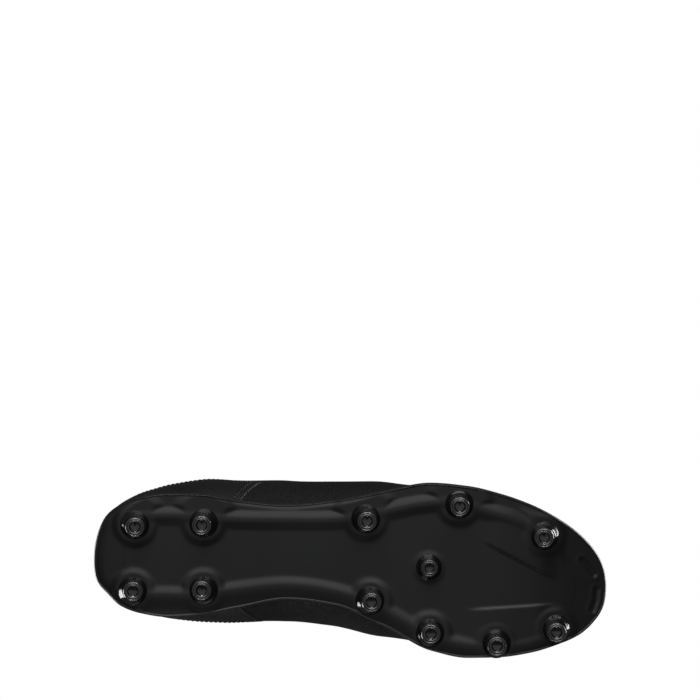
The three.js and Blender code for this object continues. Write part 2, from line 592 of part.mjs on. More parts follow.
function lace() {
  let whole = null;
  const join = (geometry) => {
    const solid = toSolid(geometry);
    whole = whole ? whole.add(solid) : solid;
  };
  for (let row = 0; row + 1 < EYELET_ROWS; row++) {
    join(laceBar(OUTER, row + 1, INNER, row, 0));
    join(laceBar(INNER, row + 1, OUTER, row, 0.4));
  }
  join(laceBar(OUTER, EYELET_ROWS - 1, INNER, EYELET_ROWS - 1, 0.2));
  for (const side of [OUTER, INNER]) {
    for (let row = 0; row < EYELET_ROWS; row++) {
      const normal = upperNormal(side, eyeletU(row), EYELET_T);
      const peg = new THREE.CylinderGeometry(PEG_RADIUS, PEG_RADIUS, PEG_LENGTH, 8);
      peg.applyQuaternion(new THREE.Quaternion().setFromUnitVectors(new THREE.Vector3(0, 1, 0), normal));
      const centre = eyelet(side, row, 0.1);
      peg.translate(centre.x, centre.y, centre.z);
      join(peg);
    }
  }
  return fromSolid(whole);
}
function facing(side) {
  let solid = toSolid(panel(
    (s, u, t) => s === side && isFacing(u, t), () => 0, () => PANEL));
  for (let row = 0; row < EYELET_ROWS; row++) {
    const normal = upperNormal(side, eyeletU(row), EYELET_T);
    const drill = new THREE.CylinderGeometry(EYELET_RADIUS, EYELET_RADIUS, 8, 8);
    drill.applyQuaternion(new THREE.Quaternion().setFromUnitVectors(new THREE.Vector3(0, 1, 0), normal));
    const centre = eyelet(side, row, 0);
    drill.translate(centre.x, centre.y, centre.z);
    solid = solid.subtract(toSolid(drill));
  }
  return fromSolid(solid);
}

// ---------- depths of the layers under the outer surface ----------
const padding = (u, t) => {
  const along = 1 - THREE.MathUtils.smoothstep(u, 0.3, 0.37);
  const up = THREE.MathUtils.smoothstep(t, 0.5, 0.8) * (1 - 0.55 * THREE.MathUtils.smoothstep(t, 0.88, 1));
  return COLLAR_FOAM * along * up;
};
const FOAM_FEATHER = 0.6;       // the collar foam thins to this at its edge
const STIFFENER_DEPTH = PANEL + GAP;
const LINING_DEPTH = STIFFENER_DEPTH + STIFFENER + GAP;
const liningOuter = (side, u, t) => LINING_DEPTH + padding(u, t);
const liningInner = (side, u, t) => liningOuter(side, u, t) + LINING;

// ---------- pull tab at the heel ----------
// A band of webbing, folded over the collar: one leg outside the backstay, one inside the lining.
const TAB_WIDTH = 13;
const TAB_THICKNESS = 1.3;
const TAB_HOLLOW = 1.7;         // a flat band stands off the hollow curve of the lining
const TAB_LOOP_RISE = 11;       // the finger loop stands this far above the collar
const TAB_LOOP_HALF = 4.4;
const TAB_SHOULDER = 3.2;       // the loop's shoulders sit this far below its crown
function pullTab() {
  const stand = GAP + TAB_THICKNESS / 2 + 0.15;
  const out = [0.78, 0.88, 0.97].map((t) => offsetPoint(INNER, 0, t, -stand));
  const into = [1, 0.93, 0.86].map((t) => (
    offsetPoint(INNER, 0, t, liningInner(INNER, 0, t) + stand + TAB_HOLLOW)));
  const crown = upperPoint(INNER, 0, 1).add(new THREE.Vector3(3.2, 0, TAB_LOOP_RISE));
  const left = crown.clone().add(new THREE.Vector3(-TAB_LOOP_HALF, 0, -TAB_SHOULDER));
  const right = crown.clone().add(new THREE.Vector3(TAB_LOOP_HALF, 0, -TAB_SHOULDER));
  const path = new THREE.CatmullRomCurve3([...out, left, crown, right, ...into]).getPoints(22);
  const edge = (sign) => path.map((p, i) => {
    const a = path[Math.max(i - 1, 0)];
    const b = path[Math.min(i + 1, path.length - 1)];
    const length = Math.hypot(b.x - a.x, b.z - a.z);
    const shift = (sign * TAB_THICKNESS) / 2 / length;
    return new THREE.Vector2(p.x - (b.z - a.z) * shift, p.z + (b.x - a.x) * shift);
  });
  const shape = new THREE.Shape([...edge(1), ...edge(-1).reverse()]);
  const geometry = new THREE.ExtrudeGeometry(shape, { depth: TAB_WIDTH, bevelEnabled: false });
  geometry.rotateX(Math.PI / 2).translate(0, upperPoint(INNER, 0, 1).y + TAB_WIDTH / 2, 0);
  return fromSolid(toSolid(geometry));
}

// ---------- materials ----------
const finish = (name, color, roughness) => (
  new THREE.MeshStandardMaterial({ name, color, roughness, metalness: 0 }));
const COLOURS = {
  plate: [0x17181a, 0.42], stud: [0x1c1d20, 0.25], upper: [0x141516, 0.6], overlay: [0x1b1c1e, 0.5],
  lining: [0x222326, 0.9], foam: [0x2b2c2e, 0.95], stiffener: [0xcfcabd, 0.7], board: [0xd8d2c2, 0.9],
  cloth: [0x1d1e22, 0.95], lace: [0x101011, 0.9], webbing: [0x18191b, 0.85],
};

// ---------- assembly ----------
const cleat = new THREE.Group();
function add(name, geometry, kind) {
  const mesh = new THREE.Mesh(geometry, finish(kind, ...COLOURS[kind]));
  mesh.name = name;
  cleat.add(mesh);
}
add('outsole_plate', solePlate(), 'plate');
for (const row of STUDS) add(row[0], stud(row), 'stud');

const boardTop = (x) => plateTop(x) + GAP + BOARD;
const foamTop = (x) => boardTop(x) + GAP + SOCK_FOAM;
add('insole_board', layer(BOARD_CLEARANCE, (x) => plateTop(x) + GAP, boardTop), 'board');
add('sockliner_foam', layer(SOCK_CLEARANCE, (x) => boardTop(x) + GAP, foamTop), 'foam');
add('sockliner_cover', layer(SOCK_CLEARANCE, (x) => foamTop(x) + GAP,
  (x) => foamTop(x) + GAP + SOCK_CLOTH), 'cloth');

add('vamp', panel((side, u) => isVamp(u), () => 0, () => PANEL), 'upper');
add('quarter_outer', panel((side, u, t) => isQuarter(u, t), () => 0, () => PANEL, [OUTER]), 'upper');
add('quarter_inner', panel((side, u, t) => isQuarter(u, t), () => 0, () => PANEL, [INNER]), 'upper');
add('heel_overlay', panel((side, u, t) => isOverlay(u, t), () => 0, () => PANEL), 'overlay');
add('heel_backstay', panel((side, u, t) => isBackstay(u, t), () => 0, () => PANEL), 'overlay');
add('facing_outer', facing(OUTER), 'overlay');
add('facing_inner', facing(INNER), 'overlay');

const stiffenerInner = () => STIFFENER_DEPTH + STIFFENER;
const foamInner = (side, u, t) => (
  Math.max(liningOuter(side, u, t) - GAP, STIFFENER_DEPTH + FOAM_FEATHER));
add('heel_counter', panel((side, u, t) => u < COUNTER_U && t < COUNTER_T && t > STIFFENER_FOOT_T,
  () => STIFFENER_DEPTH, stiffenerInner), 'stiffener');
add('toe_puff', panel((side, u, t) => u > PUFF_U && t > STIFFENER_FOOT_T,
  () => STIFFENER_DEPTH, stiffenerInner), 'stiffener');
add('collar_foam', panel((side, u, t) => u < COLLAR_U && t > COUNTER_T,
  () => STIFFENER_DEPTH, foamInner), 'foam');
add('lining_rear', panel((side, u) => !isVamp(u), liningOuter, liningInner), 'lining');
add('lining_vamp', panel((side, u) => isVamp(u), liningOuter, liningInner), 'lining');

const sections = tongueSections();
const tongueColumns = sections[0].length;
const tongueSwell = (j) => Math.sin((Math.PI * (j + 0.8)) / (tongueColumns + 0.6)) ** 0.5;
const tongueLower = (i, j) => {
  const fromRoot = Math.min(1, 0.35 + i / 4);
  return PANEL + GAP + TONGUE_SKIRT + (TONGUE_THICKNESS - TONGUE_SKIRT) * tongueSwell(j) * fromRoot;
};
add('tongue_outer', sheet(sections, () => 0, () => PANEL), 'upper');
add('tongue_padding', sheet(sections, () => PANEL + GAP, tongueLower), 'foam');
add('lace', lace(), 'lace');
add('pull_tab', pullTab(), 'webbing');

export default cleat;
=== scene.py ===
# %% [markdown]
# # A soccer cleat, right foot, for firm ground
# The cleat is a lasted shoe: a synthetic upper is pulled over a foot-shaped last and bonded to a
# moulded plate with studs. The CAD frame fixes sizes, bodies and joints. This script builds the
# surfaces a person sees around it, in metres, in the same frame: +X to the toe, +Y to the inner side
# of the foot, +Z up, with the stud tips on z = 0.

# %% Load the frame
import math

import bmesh
import bpy
import numpy as np
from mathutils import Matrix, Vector


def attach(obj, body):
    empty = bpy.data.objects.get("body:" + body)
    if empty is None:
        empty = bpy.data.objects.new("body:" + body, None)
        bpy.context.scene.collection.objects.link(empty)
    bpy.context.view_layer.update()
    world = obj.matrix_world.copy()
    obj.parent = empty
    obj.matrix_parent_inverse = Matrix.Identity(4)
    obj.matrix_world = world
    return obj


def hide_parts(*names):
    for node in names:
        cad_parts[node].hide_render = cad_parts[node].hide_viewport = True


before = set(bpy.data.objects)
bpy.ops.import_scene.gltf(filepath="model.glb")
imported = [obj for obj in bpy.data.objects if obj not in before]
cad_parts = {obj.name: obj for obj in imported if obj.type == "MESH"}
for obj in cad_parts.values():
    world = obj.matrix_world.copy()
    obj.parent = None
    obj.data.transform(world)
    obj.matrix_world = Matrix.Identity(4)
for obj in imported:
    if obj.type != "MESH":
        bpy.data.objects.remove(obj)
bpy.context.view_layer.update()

MM = 0.001
SCENE = bpy.context.scene

# %% [markdown]
# ## Camera
# The view is from straight under the sole. A long lens about a metre and a half away keeps the
# studs nearly upright in the picture, and the shoe sits low in the frame because the camera looks
# past its outer side. No lens shift is used, so the same lens serves every other view.

# %% Camera
VIEW_WIDTH = 388.5 * MM          # what the square frame covers at the sole
CAMERA_DISTANCE = 1.573
CAMERA_Y = -121.9 * MM           # the frame's centre lies beside the outer edge of the shoe
SENSOR = 36.0

camera_data = bpy.data.cameras.new("studio_camera")
camera_data.sensor_width = SENSOR
camera_data.lens = SENSOR * CAMERA_DISTANCE / VIEW_WIDTH
camera_data.clip_start = 0.05
camera_data.clip_end = 20
camera = bpy.data.objects.new("studio_camera", camera_data)
camera.location = (0, CAMERA_Y, 0.012 - CAMERA_DISTANCE)
camera.rotation_euler = (math.pi, 0, 0)     # looks along +Z, with -Y at the top of the frame
SCENE.collection.objects.link(camera)
SCENE.camera = camera
print("lens:", round(camera_data.lens, 1), "mm")

# %% [markdown]
# ## Small helpers for colour and nodes
# Paint colours are written as the hex values that a colour picker shows, and one function turns
# them to the linear values that shaders use. One more function adds a node with its settings and
# its links, so that each material below reads as a short recipe.

# %% Colour and node helpers
def linear(hex_colour):
    """The linear RGBA of an sRGB hex colour such as 0x101113."""
    channels = [(hex_colour >> shift & 255) / 255 for shift in (16, 8, 0)]
    return tuple(c / 12.92 if c <= 0.04045 else ((c + 0.055) / 1.055) ** 2.4 for c in channels) + (1.0,)


def add_node(tree, kind, links=None, values=None, **settings):
    """A new node with attributes, socket values and incoming links set."""
    made = tree.nodes.new(kind)
    for name, value in settings.items():
        setattr(made, name, value)
    for name, value in (values or {}).items():
        made.inputs[name].default_value = value
    for name, source in (links or {}).items():
        tree.links.new(source, made.inputs[name])
    return made


# %% [markdown]
# ## Floor, backdrop and light
# The stage is a plain pale floor under the studs and a white surround. The floor shows only to the
# camera and only from above, so a camera below it sees the sole and not the floor. A large soft
# light beside the outer edge rakes across the sole and draws the relief of the black plastic, one
# far below it fills the flat panels, narrow strips catch the studs, and lights over the toe and the
# heel serve the views of the upper. They stand at its ends, where its walls don't mirror them.

# %% Stage and lights
FLOOR_HALF = 4.0


def make_floor():
    mesh = bpy.data.meshes.new("floor")
    corners = [(-FLOOR_HALF, -FLOOR_HALF, 0), (FLOOR_HALF, -FLOOR_HALF, 0),
               (FLOOR_HALF, FLOOR_HALF, 0), (-FLOOR_HALF, FLOOR_HALF, 0)]
    mesh.from_pydata(corners, [], [(0, 1, 2, 3)])
    floor = bpy.data.objects.new("floor", mesh)
    SCENE.collection.objects.link(floor)
    for ray in ("visible_diffuse", "visible_glossy", "visible_transmission", "visible_shadow"):
        setattr(floor, ray, False)
    material = bpy.data.materials.new("pale_floor")
    material.use_nodes = True
    tree = material.node_tree
    tree.nodes.clear()
    chalk = add_node(tree, "ShaderNodeBsdfDiffuse", values={"Color": linear(0xC4C4C3)})
    glow = add_node(tree, "ShaderNodeEmission", values={"Color": linear(0xF4F4F3), "Strength": 0.5})
    paint = add_node(tree, "ShaderNodeAddShader", links={0: chalk.outputs[0], 1: glow.outputs[0]})
    clear = add_node(tree, "ShaderNodeBsdfTransparent")
    side = add_node(tree, "ShaderNodeNewGeometry")
    mix = add_node(tree, "ShaderNodeMixShader", links={0: side.outputs["Backfacing"],
                                                       1: paint.outputs[0], 2: clear.outputs[0]})
    add_node(tree, "ShaderNodeOutputMaterial", links={"Surface": mix.outputs[0]})
    mesh.materials.append(material)


def make_surround(seen, lit):
    """White to the camera, and a dimmer even glow on the object."""
    world = bpy.data.worlds.new("white_surround")
    SCENE.world = world
    world.use_nodes = True
    tree = world.node_tree
    tree.nodes.clear()
    back = add_node(tree, "ShaderNodeBackground", values={"Color": (1, 1, 1, 1), "Strength": seen})
    glow = add_node(tree, "ShaderNodeBackground", values={"Color": (1, 1, 1, 1), "Strength": lit})
    ray = add_node(tree, "ShaderNodeLightPath")
    mix = add_node(tree, "ShaderNodeMixShader", links={0: ray.outputs["Is Camera Ray"],
                                                       1: glow.outputs[0], 2: back.outputs[0]})
    add_node(tree, "ShaderNodeOutputWorld", links={"Surface": mix.outputs[0]})


def soft_light(name, place, aim_height, size, power):
    data = bpy.data.lights.new(name, "AREA")
    data.shape = "RECTANGLE"
    data.size, data.size_y = size
    data.energy = power
    light = bpy.data.objects.new(name, data)
    light.location = place
    aim = Vector((0, 0, aim_height)) - Vector(place)
    light.rotation_euler = aim.to_track_quat("-Z", "Y").to_euler()
    SCENE.collection.objects.link(light)


# name, place in metres, height aimed at, size in metres, power in watts
LIGHTS = [
    ("sole_key", (-0.15, -1.1, -1.2), 0.02, (1.9, 1.1), 9.5),
    ("sole_front", (0.0, -0.3, -2.3), 0.02, (2.4, 2.0), 4.8),
    ("stud_strip", (0.0, -1.35, -0.5), 0.01, (1.2, 0.16), 8),
    ("inner_strip", (-0.2, 1.4, -0.15), 0.01, (1.1, 0.16), 4),
    ("outer_card", (0.0, -1.6, 0.12), 0.03, (2.2, 0.45), 3.5),
    ("inner_card", (0.0, 1.6, 0.30), 0.03, (2.2, 0.6), 1.6),
    ("toe_top", (1.25, -0.25, 1.15), 0.04, (0.9, 1.3), 24),
    ("heel_top", (-1.25, 0.35, 1.15), 0.04, (0.9, 1.3), 18)]
make_floor()
make_surround(seen=1.0, lit=0.06)
for light in LIGHTS:
    soft_light(*light)
SCENE.view_settings.view_transform = "Standard"
print("stage ready:", len(LIGHTS), "lights")

# %% [markdown]
# ## The shape of the last
# A shoe takes its shape from its last, so every layer of the upper is an offset of one surface.
# Stations run along each side from the heel (0) to the toe tip (1). A short table gives the plate's
# outline, the top line, and how far the wall bellies out, and smooth monotone curves join the rows.
# This is the same rule as the CAD part uses, so the detailed pieces land on the CAD ones.

# %% Tables of the last, in millimetres
SHOE_LENGTH, TOE_X, PLATE_THICKNESS, GAP = 286.4, 143.6, 3.5, 0.3
# station, then the plate's outer and inner edge
OUTLINE = [
    (0, -4, -4), (0.05, -17.9, 6.6), (0.1, -29.6, 12.9), (0.15, -36.3, 20.5), (0.2, -40.7, 24.6),
    (0.25, -42.4, 26.5), (0.3, -42.2, 25.5), (0.36, -38.4, 21.3), (0.42, -36.1, 17.1), (0.48, -38.5, 20.2),
    (0.54, -43.7, 31.4), (0.6, -48.2, 44.9), (0.65, -46.4, 49.1), (0.7, -41.8, 48.6), (0.75, -35.6, 46.2),
    (0.8, -27.9, 41.9), (0.85, -19.5, 37.1), (0.9, -10.5, 29.8), (0.95, -0.9, 21.5), (1, 10, 10)]
# x, then the height of the plate's underside
UNDERSIDE = [
    (-142.8, 15), (-125, 12.6), (-100, 11.8), (-80, 12.2), (-60, 14), (-35, 16), (-12, 15.5), (10, 13),
    (35, 11.8), (60, 11.5), (80, 12), (100, 14), (115, 16.8), (128, 20), (143.6, 24.8)]
# station, then x, height, centre line and half width of the top line
TOP_LINE = [
    (0, -134, 92, -6, 0), (0.05, -131.5, 90, -6.5, 13), (0.1, -125, 84.5, -7, 21),
    (0.16, -113, 77, -8, 26), (0.22, -97, 73.5, -8, 28), (0.28, -80, 75, -8.5, 27.5),
    (0.33, -63, 83, -9, 24), (0.36, -51, 92, -9.5, 20), (0.42, -30, 86.5, -9, 16.5),
    (0.48, -8, 78.5, -7.5, 14.5), (0.54, 14, 70.5, -5.5, 12.5), (0.58, 30, 65.2, -3.5, 9),
    (0.6, 37, 63, -2.5, 0), (0.65, 57, 58.8, 0, 0), (0.7, 76, 55.2, 2.5, 0),
    (0.76, 95, 51.6, 5.5, 0), (0.83, 111, 48.4, 8, 0), (1, 111, 48.4, 8, 0)]
# station, then how far the outer wall bellies out low and high, and the inner wall low and high
BELLY = [
    (0, 1, -1, 1, -1), (0.1, 3.5, 2, 4, 2.5), (0.2, 6, 5, 6, 6), (0.3, 14.8, 14.4, 14.5, 15.1),
    (0.36, 20.7, 21.8, 24.6, 27.7), (0.42, 24.6, 28.7, 31.4, 37.4), (0.48, 22.7, 28.3, 32.5, 39),
    (0.54, 17.9, 22.3, 27.5, 34.2), (0.6, 6.5, 6, 10, 11), (0.65, 3, 2, 4, 3.5), (0.7, 1, 0, 1, 0),
    (1, 1.5, 0, 1.5, 0)]
# station, then the heights of the wall curve's two handles and the reach of the upper one
WALL = [
    (0, 0.34, 0.72, 1), (0.22, 0.34, 0.74, 1), (0.36, 0.33, 0.78, 0.92), (0.48, 0.33, 0.85, 0.78),
    (0.6, 0.42, 1, 0.66), (0.8, 0.54, 1, 0.74), (1, 0.6, 1, 0.8)]
RIDGE_SLOPE, RIDGE_START, POLE = -0.24, 0.6, 0.83


def smooth_curve(rows, column):
    """A monotone cubic through the rows of a table."""
    xs = np.array([row[0] for row in rows], float)
    ys = np.array([row[column] for row in rows], float)
    slope = np.diff(ys) / np.diff(xs)
    tangent = np.empty_like(ys)
    tangent[0], tangent[-1] = slope[0], slope[-1]
    product = slope[:-1] * slope[1:]
    total = np.where(np.abs(slope[:-1] + slope[1:]) < 1e-12, 1, slope[:-1] + slope[1:])
    tangent[1:-1] = np.where(product > 0, 2 * product / total, 0)

    def value(x):
        x = np.asarray(x, float)
        i = np.clip(np.searchsorted(xs, x, side="right") - 1, 0, len(xs) - 2)
        h = xs[i + 1] - xs[i]
        s = np.clip((x - xs[i]) / h, 0, 1)
        return ((1 + 2 * s) * (1 - s) ** 2 * ys[i] + s * (1 - s) ** 2 * h * tangent[i]
                + s * s * (3 - 2 * s) * ys[i + 1] + s * s * (s - 1) * h * tangent[i + 1])
    return value


def step(low, high, x):
    """0 below low, 1 above high, smooth between."""
    s = np.clip((np.asarray(x, float) - low) / (high - low), 0, 1)
    return s * s * (3 - 2 * s)


outline_outer, outline_inner = smooth_curve(OUTLINE, 1), smooth_curve(OUTLINE, 2)
underside = smooth_curve(UNDERSIDE, 1)
top_x, top_z, top_centre, top_half = (smooth_curve(TOP_LINE, k) for k in (1, 2, 3, 4))
belly_curves = [smooth_curve(BELLY, k) for k in (1, 2, 3, 4)]
low_handle, high_handle, handle_reach = (smooth_curve(WALL, k) for k in (1, 2, 3))
ball_width = max(row[2] for row in OUTLINE) - min(row[1] for row in OUTLINE)
print("plate length", SHOE_LENGTH, "mm, ball width", ball_width)

# %% [markdown]
# ## One surface for the whole upper
# A place on the upper is a pair: the station on the loop around the shoe, negative on the outer
# side and positive on the inner side, and the height share from the sole (0) to the top line (1).
# Each wall section is a cubic Bezier curve. Its normal gives the way to step in or out for layers.

# %% Surface of the upper
FOOT_INSET, FOOT_TUCK = 2.0, 0.18
RIDGE_BLEND = 0.015      # how quickly the normals of the two sides merge on the ridge


def fold(station):
    """Side (-1 outer, 1 inner) and unsigned station of a place on the loop."""
    wrapped = (np.asarray(station, float) + 1) % 2 - 1
    return np.where(wrapped < 0, -1.0, 1.0), np.abs(wrapped)


def on_outline(station):
    side, u = fold(station)
    x = TOE_X - SHOE_LENGTH / 2 * (1 + np.cos(np.pi * u))
    return np.stack([x, np.where(side < 0, outline_outer(u), outline_inner(u))], -1)


def outline_at(station, inset=0.0):
    """Plan point moved in by inset, and the outward direction."""
    along = on_outline(np.asarray(station) + 0.012) - on_outline(np.asarray(station) - 0.012)
    out = np.stack([-along[..., 1], along[..., 0]], -1)
    out /= np.linalg.norm(out, axis=-1, keepdims=True)
    return on_outline(station) - out * np.asarray(inset)[..., None], out


def by_side(side, outer, inner, u):
    return np.where(side < 0, outer(u), inner(u))


def foot_inset(station):
    """The upper's foot stands inside the plate's edge, further where the wall bellies out more."""
    side, u = fold(station)
    return FOOT_INSET + FOOT_TUCK * by_side(side, belly_curves[0], belly_curves[2], u)


def upper_point(station, t):
    """A point of the last's surface: one cubic Bezier curve from the plate to the top line."""
    station, t = np.broadcast_arrays(np.asarray(station, float), np.asarray(t, float))
    side, u = fold(station)
    foot, out = outline_at(station, foot_inset(station))
    foot_z = underside(foot[..., 0]) + PLATE_THICKNESS + GAP
    low = by_side(side, belly_curves[0], belly_curves[2], u)[..., None]
    high = by_side(side, belly_curves[1], belly_curves[3], u)[..., None]
    top = np.stack([top_x(u), top_centre(u) + side * top_half(u), top_z(u)], -1)
    rise = top[..., 2] - foot_z
    low_point = np.concatenate([foot + out * low, (foot_z + low_handle(u) * rise)[..., None]], -1)
    high_xy = top[..., :2] + handle_reach(u)[..., None] * (foot + out * high - top[..., :2])
    wall_z = foot_z + high_handle(u) * rise
    ridge_z = top[..., 2] + RIDGE_SLOPE * (high_xy[..., 0] - top[..., 0])
    high_z = wall_z + step(0.5, 0.6, u) * (ridge_z - wall_z)
    high_point = np.concatenate([high_xy, high_z[..., None]], -1)
    foot_point = np.concatenate([foot, foot_z[..., None]], -1)
    t = t[..., None]
    return ((1 - t) ** 3 * foot_point + 3 * t * (1 - t) ** 2 * low_point
            + 3 * t * t * (1 - t) * high_point + t ** 3 * top)


def unit(v):
    return v / np.maximum(np.linalg.norm(v, axis=-1, keepdims=True), 1e-12)


def side_normal(station, t):
    t0 = np.clip(t, 0.004, 0.985)
    along = upper_point(station + 0.004, t0) - upper_point(station - 0.004, t0)
    up = upper_point(station, np.minimum(t0 + 0.004, 1)) - upper_point(station, t0 - 0.004)
    return unit(np.cross(up, along))


def upper_normal(station, t):
    """The way out of the surface, shared by both sides along the ridge over the toes."""
    station, t = np.broadcast_arrays(np.asarray(station, float), np.asarray(t, float))
    normal = side_normal(station, t)
    side, u = fold(station)
    tip = np.minimum(u, POLE)
    ridge = unit(side_normal(tip, t) + side_normal(-tip, t))
    near = (step(0.93, 1.0, t) * step(RIDGE_START, RIDGE_START + RIDGE_BLEND, u))[..., None]
    return unit(normal * (1 - near) + ridge * near)


def skin(station, t, lift):
    """A point of the upper moved out by lift (in when negative)."""
    return upper_point(station, t) + upper_normal(station, t) * np.asarray(lift)[..., None]


widest = upper_point(np.linspace(-1, 1, 400)[:, None], np.linspace(0, 1, 60)[None, :])
print("upper spans y", widest[..., 1].min().round(1), "to", widest[..., 1].max().round(1), "mm")

# %% [markdown]
# ## From grids of points to meshes
# Most pieces are grids: a face side, a back side, and walls along the free edges. Points that fall
# together, as at the toe's pole, are merged, and a shell whose volume comes out negative is turned.
# Samples crowd towards an edge so that its rounding is smooth.

# %% Mesh helpers
MERGE, SLIVER = 2e-6, 1e-7      # metres


def finish_mesh(name, verts, faces, sharp_degrees=50, uv=None):
    """A smooth-shaded object from points in mm, with loose doubles merged and faces turned outward."""
    mesh = bpy.data.meshes.new(name)
    mesh.from_pydata((np.asarray(verts) * MM).tolist(), [], faces)
    if uv is not None:
        layer = mesh.uv_layers.new(name="UVMap")
        corner = np.zeros(len(mesh.loops), np.int32)
        mesh.loops.foreach_get("vertex_index", corner)
        layer.data.foreach_set("uv", np.asarray(uv, np.float32)[corner].ravel())
    build = bmesh.new()
    build.from_mesh(mesh)
    bmesh.ops.remove_doubles(build, verts=build.verts, dist=MERGE)
    bmesh.ops.dissolve_degenerate(build, edges=build.edges, dist=SLIVER)
    if build.calc_volume(signed=True) < 0:
        bmesh.ops.reverse_faces(build, faces=build.faces)
    build.to_mesh(mesh)
    build.free()
    mesh.polygons.foreach_set("use_smooth", [True] * len(mesh.polygons))
    mesh.set_sharp_from_angle(angle=math.radians(sharp_degrees))
    piece = bpy.data.objects.new(name, mesh)
    SCENE.collection.objects.link(piece)
    return piece


def grid_faces(rows, columns, first=0, flip=False, wrap=False):
    """Quads over a grid of points, joined round its columns when wrap is set."""
    index = np.arange(rows * columns).reshape(rows, columns) + first
    if wrap:
        index = np.concatenate([index, index[:, :1]], 1)
    quads = np.stack([index[:-1, :-1], index[1:, :-1], index[1:, 1:], index[:-1, 1:]], -1)
    quads = quads.reshape(-1, 4)
    return (quads[:, ::-1] if flip else quads).tolist()


def closed_shell(name, face, back, open_rows=None, sharp_degrees=50):
    """A closed body between two equal grids. The last column has no wall where open_rows is True."""
    rows, columns = face.shape[:2]
    count = rows * columns
    faces = grid_faces(rows, columns) + grid_faces(rows, columns, count, flip=True)
    index = np.arange(count).reshape(rows, columns)
    for j, turn in ((0, True), (columns - 1, False)):
        for i in range(rows - 1):
            if j and open_rows is not None and open_rows[i]:
                continue
            wall = [index[i, j], index[i, j] + count, index[i + 1, j] + count, index[i + 1, j]]
            faces.append(wall[::-1] if turn else wall)
    for i, turn in ((0, False), (rows - 1, True)):
        for j in range(columns - 1):
            wall = [index[i, j], index[i, j] + count, index[i, j + 1] + count, index[i, j + 1]]
            faces.append(wall[::-1] if turn else wall)
    verts = np.concatenate([face.reshape(-1, 3), back.reshape(-1, 3)])
    return finish_mesh(name, verts, faces, sharp_degrees)


def crowded(count, span, edge):
    """Samples 0 to 1 over a span in mm, crowded within edge mm of both ends."""
    share = min(edge / span, 0.2)
    ends = share * np.array([0, 0.08, 0.25, 0.5, 0.75])
    middle = np.linspace(share, 1 - share, count)
    return np.concatenate([ends, middle, 1 - ends[::-1]])


def rounded(distance, radius):
    """Height share of a quarter-round edge at a distance from the border."""
    s = np.clip(distance / radius, 0, 1)
    return np.sqrt(1 - (1 - s) ** 2)


def place(piece, body, slot, nodes=(), material=None):
    """Gives a piece its finish and its body, and hides the CAD nodes that it stands for. The slot is not
    used.
    """
    if material is not None:
        piece.data.materials.clear()
        piece.data.materials.append(material)
    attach(piece, body)
    if nodes:
        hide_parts(*nodes)
    return piece


# %% [markdown]
# ## Materials
# Everything on this cleat is black, so the finishes tell the pieces apart. Moulded thermoplastic
# polyurethane (TPU) is satin on the plate and polished on the studs. The upper is a polyurethane
# coated synthetic leather with a pressed pebble grain. Thread, webbing, lace and lining are
# polyester textiles. Each pattern's scale comes from its real size.

# %% Material recipes
CLOUD_TPU, CLOUD_LEATHER = 22, 30        # mm over which colour and gloss drift
FLOW_MM, PORE_MM = 14, 0.35              # waves that the melt leaves in a moulding, pores in a coat


def start_material(name, rough, **constants):
    """A principled material; constants are socket values that hold over the whole surface."""
    material = bpy.data.materials.new(name)
    material.use_nodes = True
    tree = material.node_tree
    tree.nodes.clear()
    values = {socket.replace("_", " "): value for socket, value in constants.items()}
    surface = add_node(tree, "ShaderNodeBsdfPrincipled", values={"Roughness": rough, **values})
    add_node(tree, "ShaderNodeOutputMaterial", links={"Surface": surface.outputs[0]})
    return material, tree, surface


def cloudy(tree, surface, where, cloud_mm, dark, light, rough_low, rough_high):
    """Soft drifts of colour and gloss, cloud_mm across; gives back the colour."""
    cloud = add_node(tree, "ShaderNodeTexNoise", links={"Vector": where},
                     values={"Scale": 1000 / cloud_mm, "Detail": 4.0})
    paint = add_node(tree, "ShaderNodeMix", data_type="RGBA", links={0: cloud.outputs[0]},
                     values={6: linear(dark), 7: linear(light)})
    tree.links.new(paint.outputs[2], surface.inputs["Base Color"])
    gloss = add_node(tree, "ShaderNodeMapRange", links={"Value": cloud.outputs[0]},
                     values={"From Min": 0.3, "From Max": 0.7,
                             "To Min": rough_low, "To Max": rough_high})
    tree.links.new(gloss.outputs[0], surface.inputs["Roughness"])
    return paint.outputs[2]


def carve(tree, surface, *layers):
    """Relief in layers, each a height socket, its depth in mm and its strength."""
    normal = {}
    for height, depth_mm, strength in layers:
        layer = add_node(tree, "ShaderNodeBump", links={"Height": height, **normal},
                         values={"Distance": depth_mm * MM, "Strength": strength})
        normal = {"Normal": layer.outputs[0]}
    tree.links.new(normal["Normal"], surface.inputs["Normal"])


def moulded_tpu(name, dark, light, rough_low, rough_high, grit_mm, highlight_colour=None, **constants):
    """Injection-moulded TPU: a spark-eroded mould leaves a fine even texture that scatters gloss.

    The optional paler colour is a painted highlight on the rims of the stud tips; an attribute of the mesh
    marks where it goes.
    """
    material, tree, surface = start_material(name, rough_low, **constants)
    where = add_node(tree, "ShaderNodeTexCoord").outputs["Object"]
    plain_colour = cloudy(tree, surface, where, CLOUD_TPU, dark, light, rough_low, rough_high)
    if highlight_colour is not None:
        # a paler colour painted on the tip's rims as a highlight, where the mesh marks them
        painted_highlight = add_node(tree, "ShaderNodeAttribute", attribute_name="painted_highlight")
        paint = add_node(tree, "ShaderNodeMix", data_type="RGBA",
                         links={0: painted_highlight.outputs["Fac"], 6: plain_colour}, values={7: linear(highlight_colour)})
        tree.links.new(paint.outputs[2], surface.inputs["Base Color"])
    grit = add_node(tree, "ShaderNodeTexNoise", links={"Vector": where},
                    values={"Scale": 1000 / grit_mm, "Detail": 3.0, "Roughness": 0.6})
    flow = add_node(tree, "ShaderNodeTexNoise", links={"Vector": where},
                    values={"Scale": 1000 / FLOW_MM, "Detail": 1.0})
    carve(tree, surface, (grit.outputs[0], 0.03, 0.5), (flow.outputs[0], 0.12, 0.5))
    return material


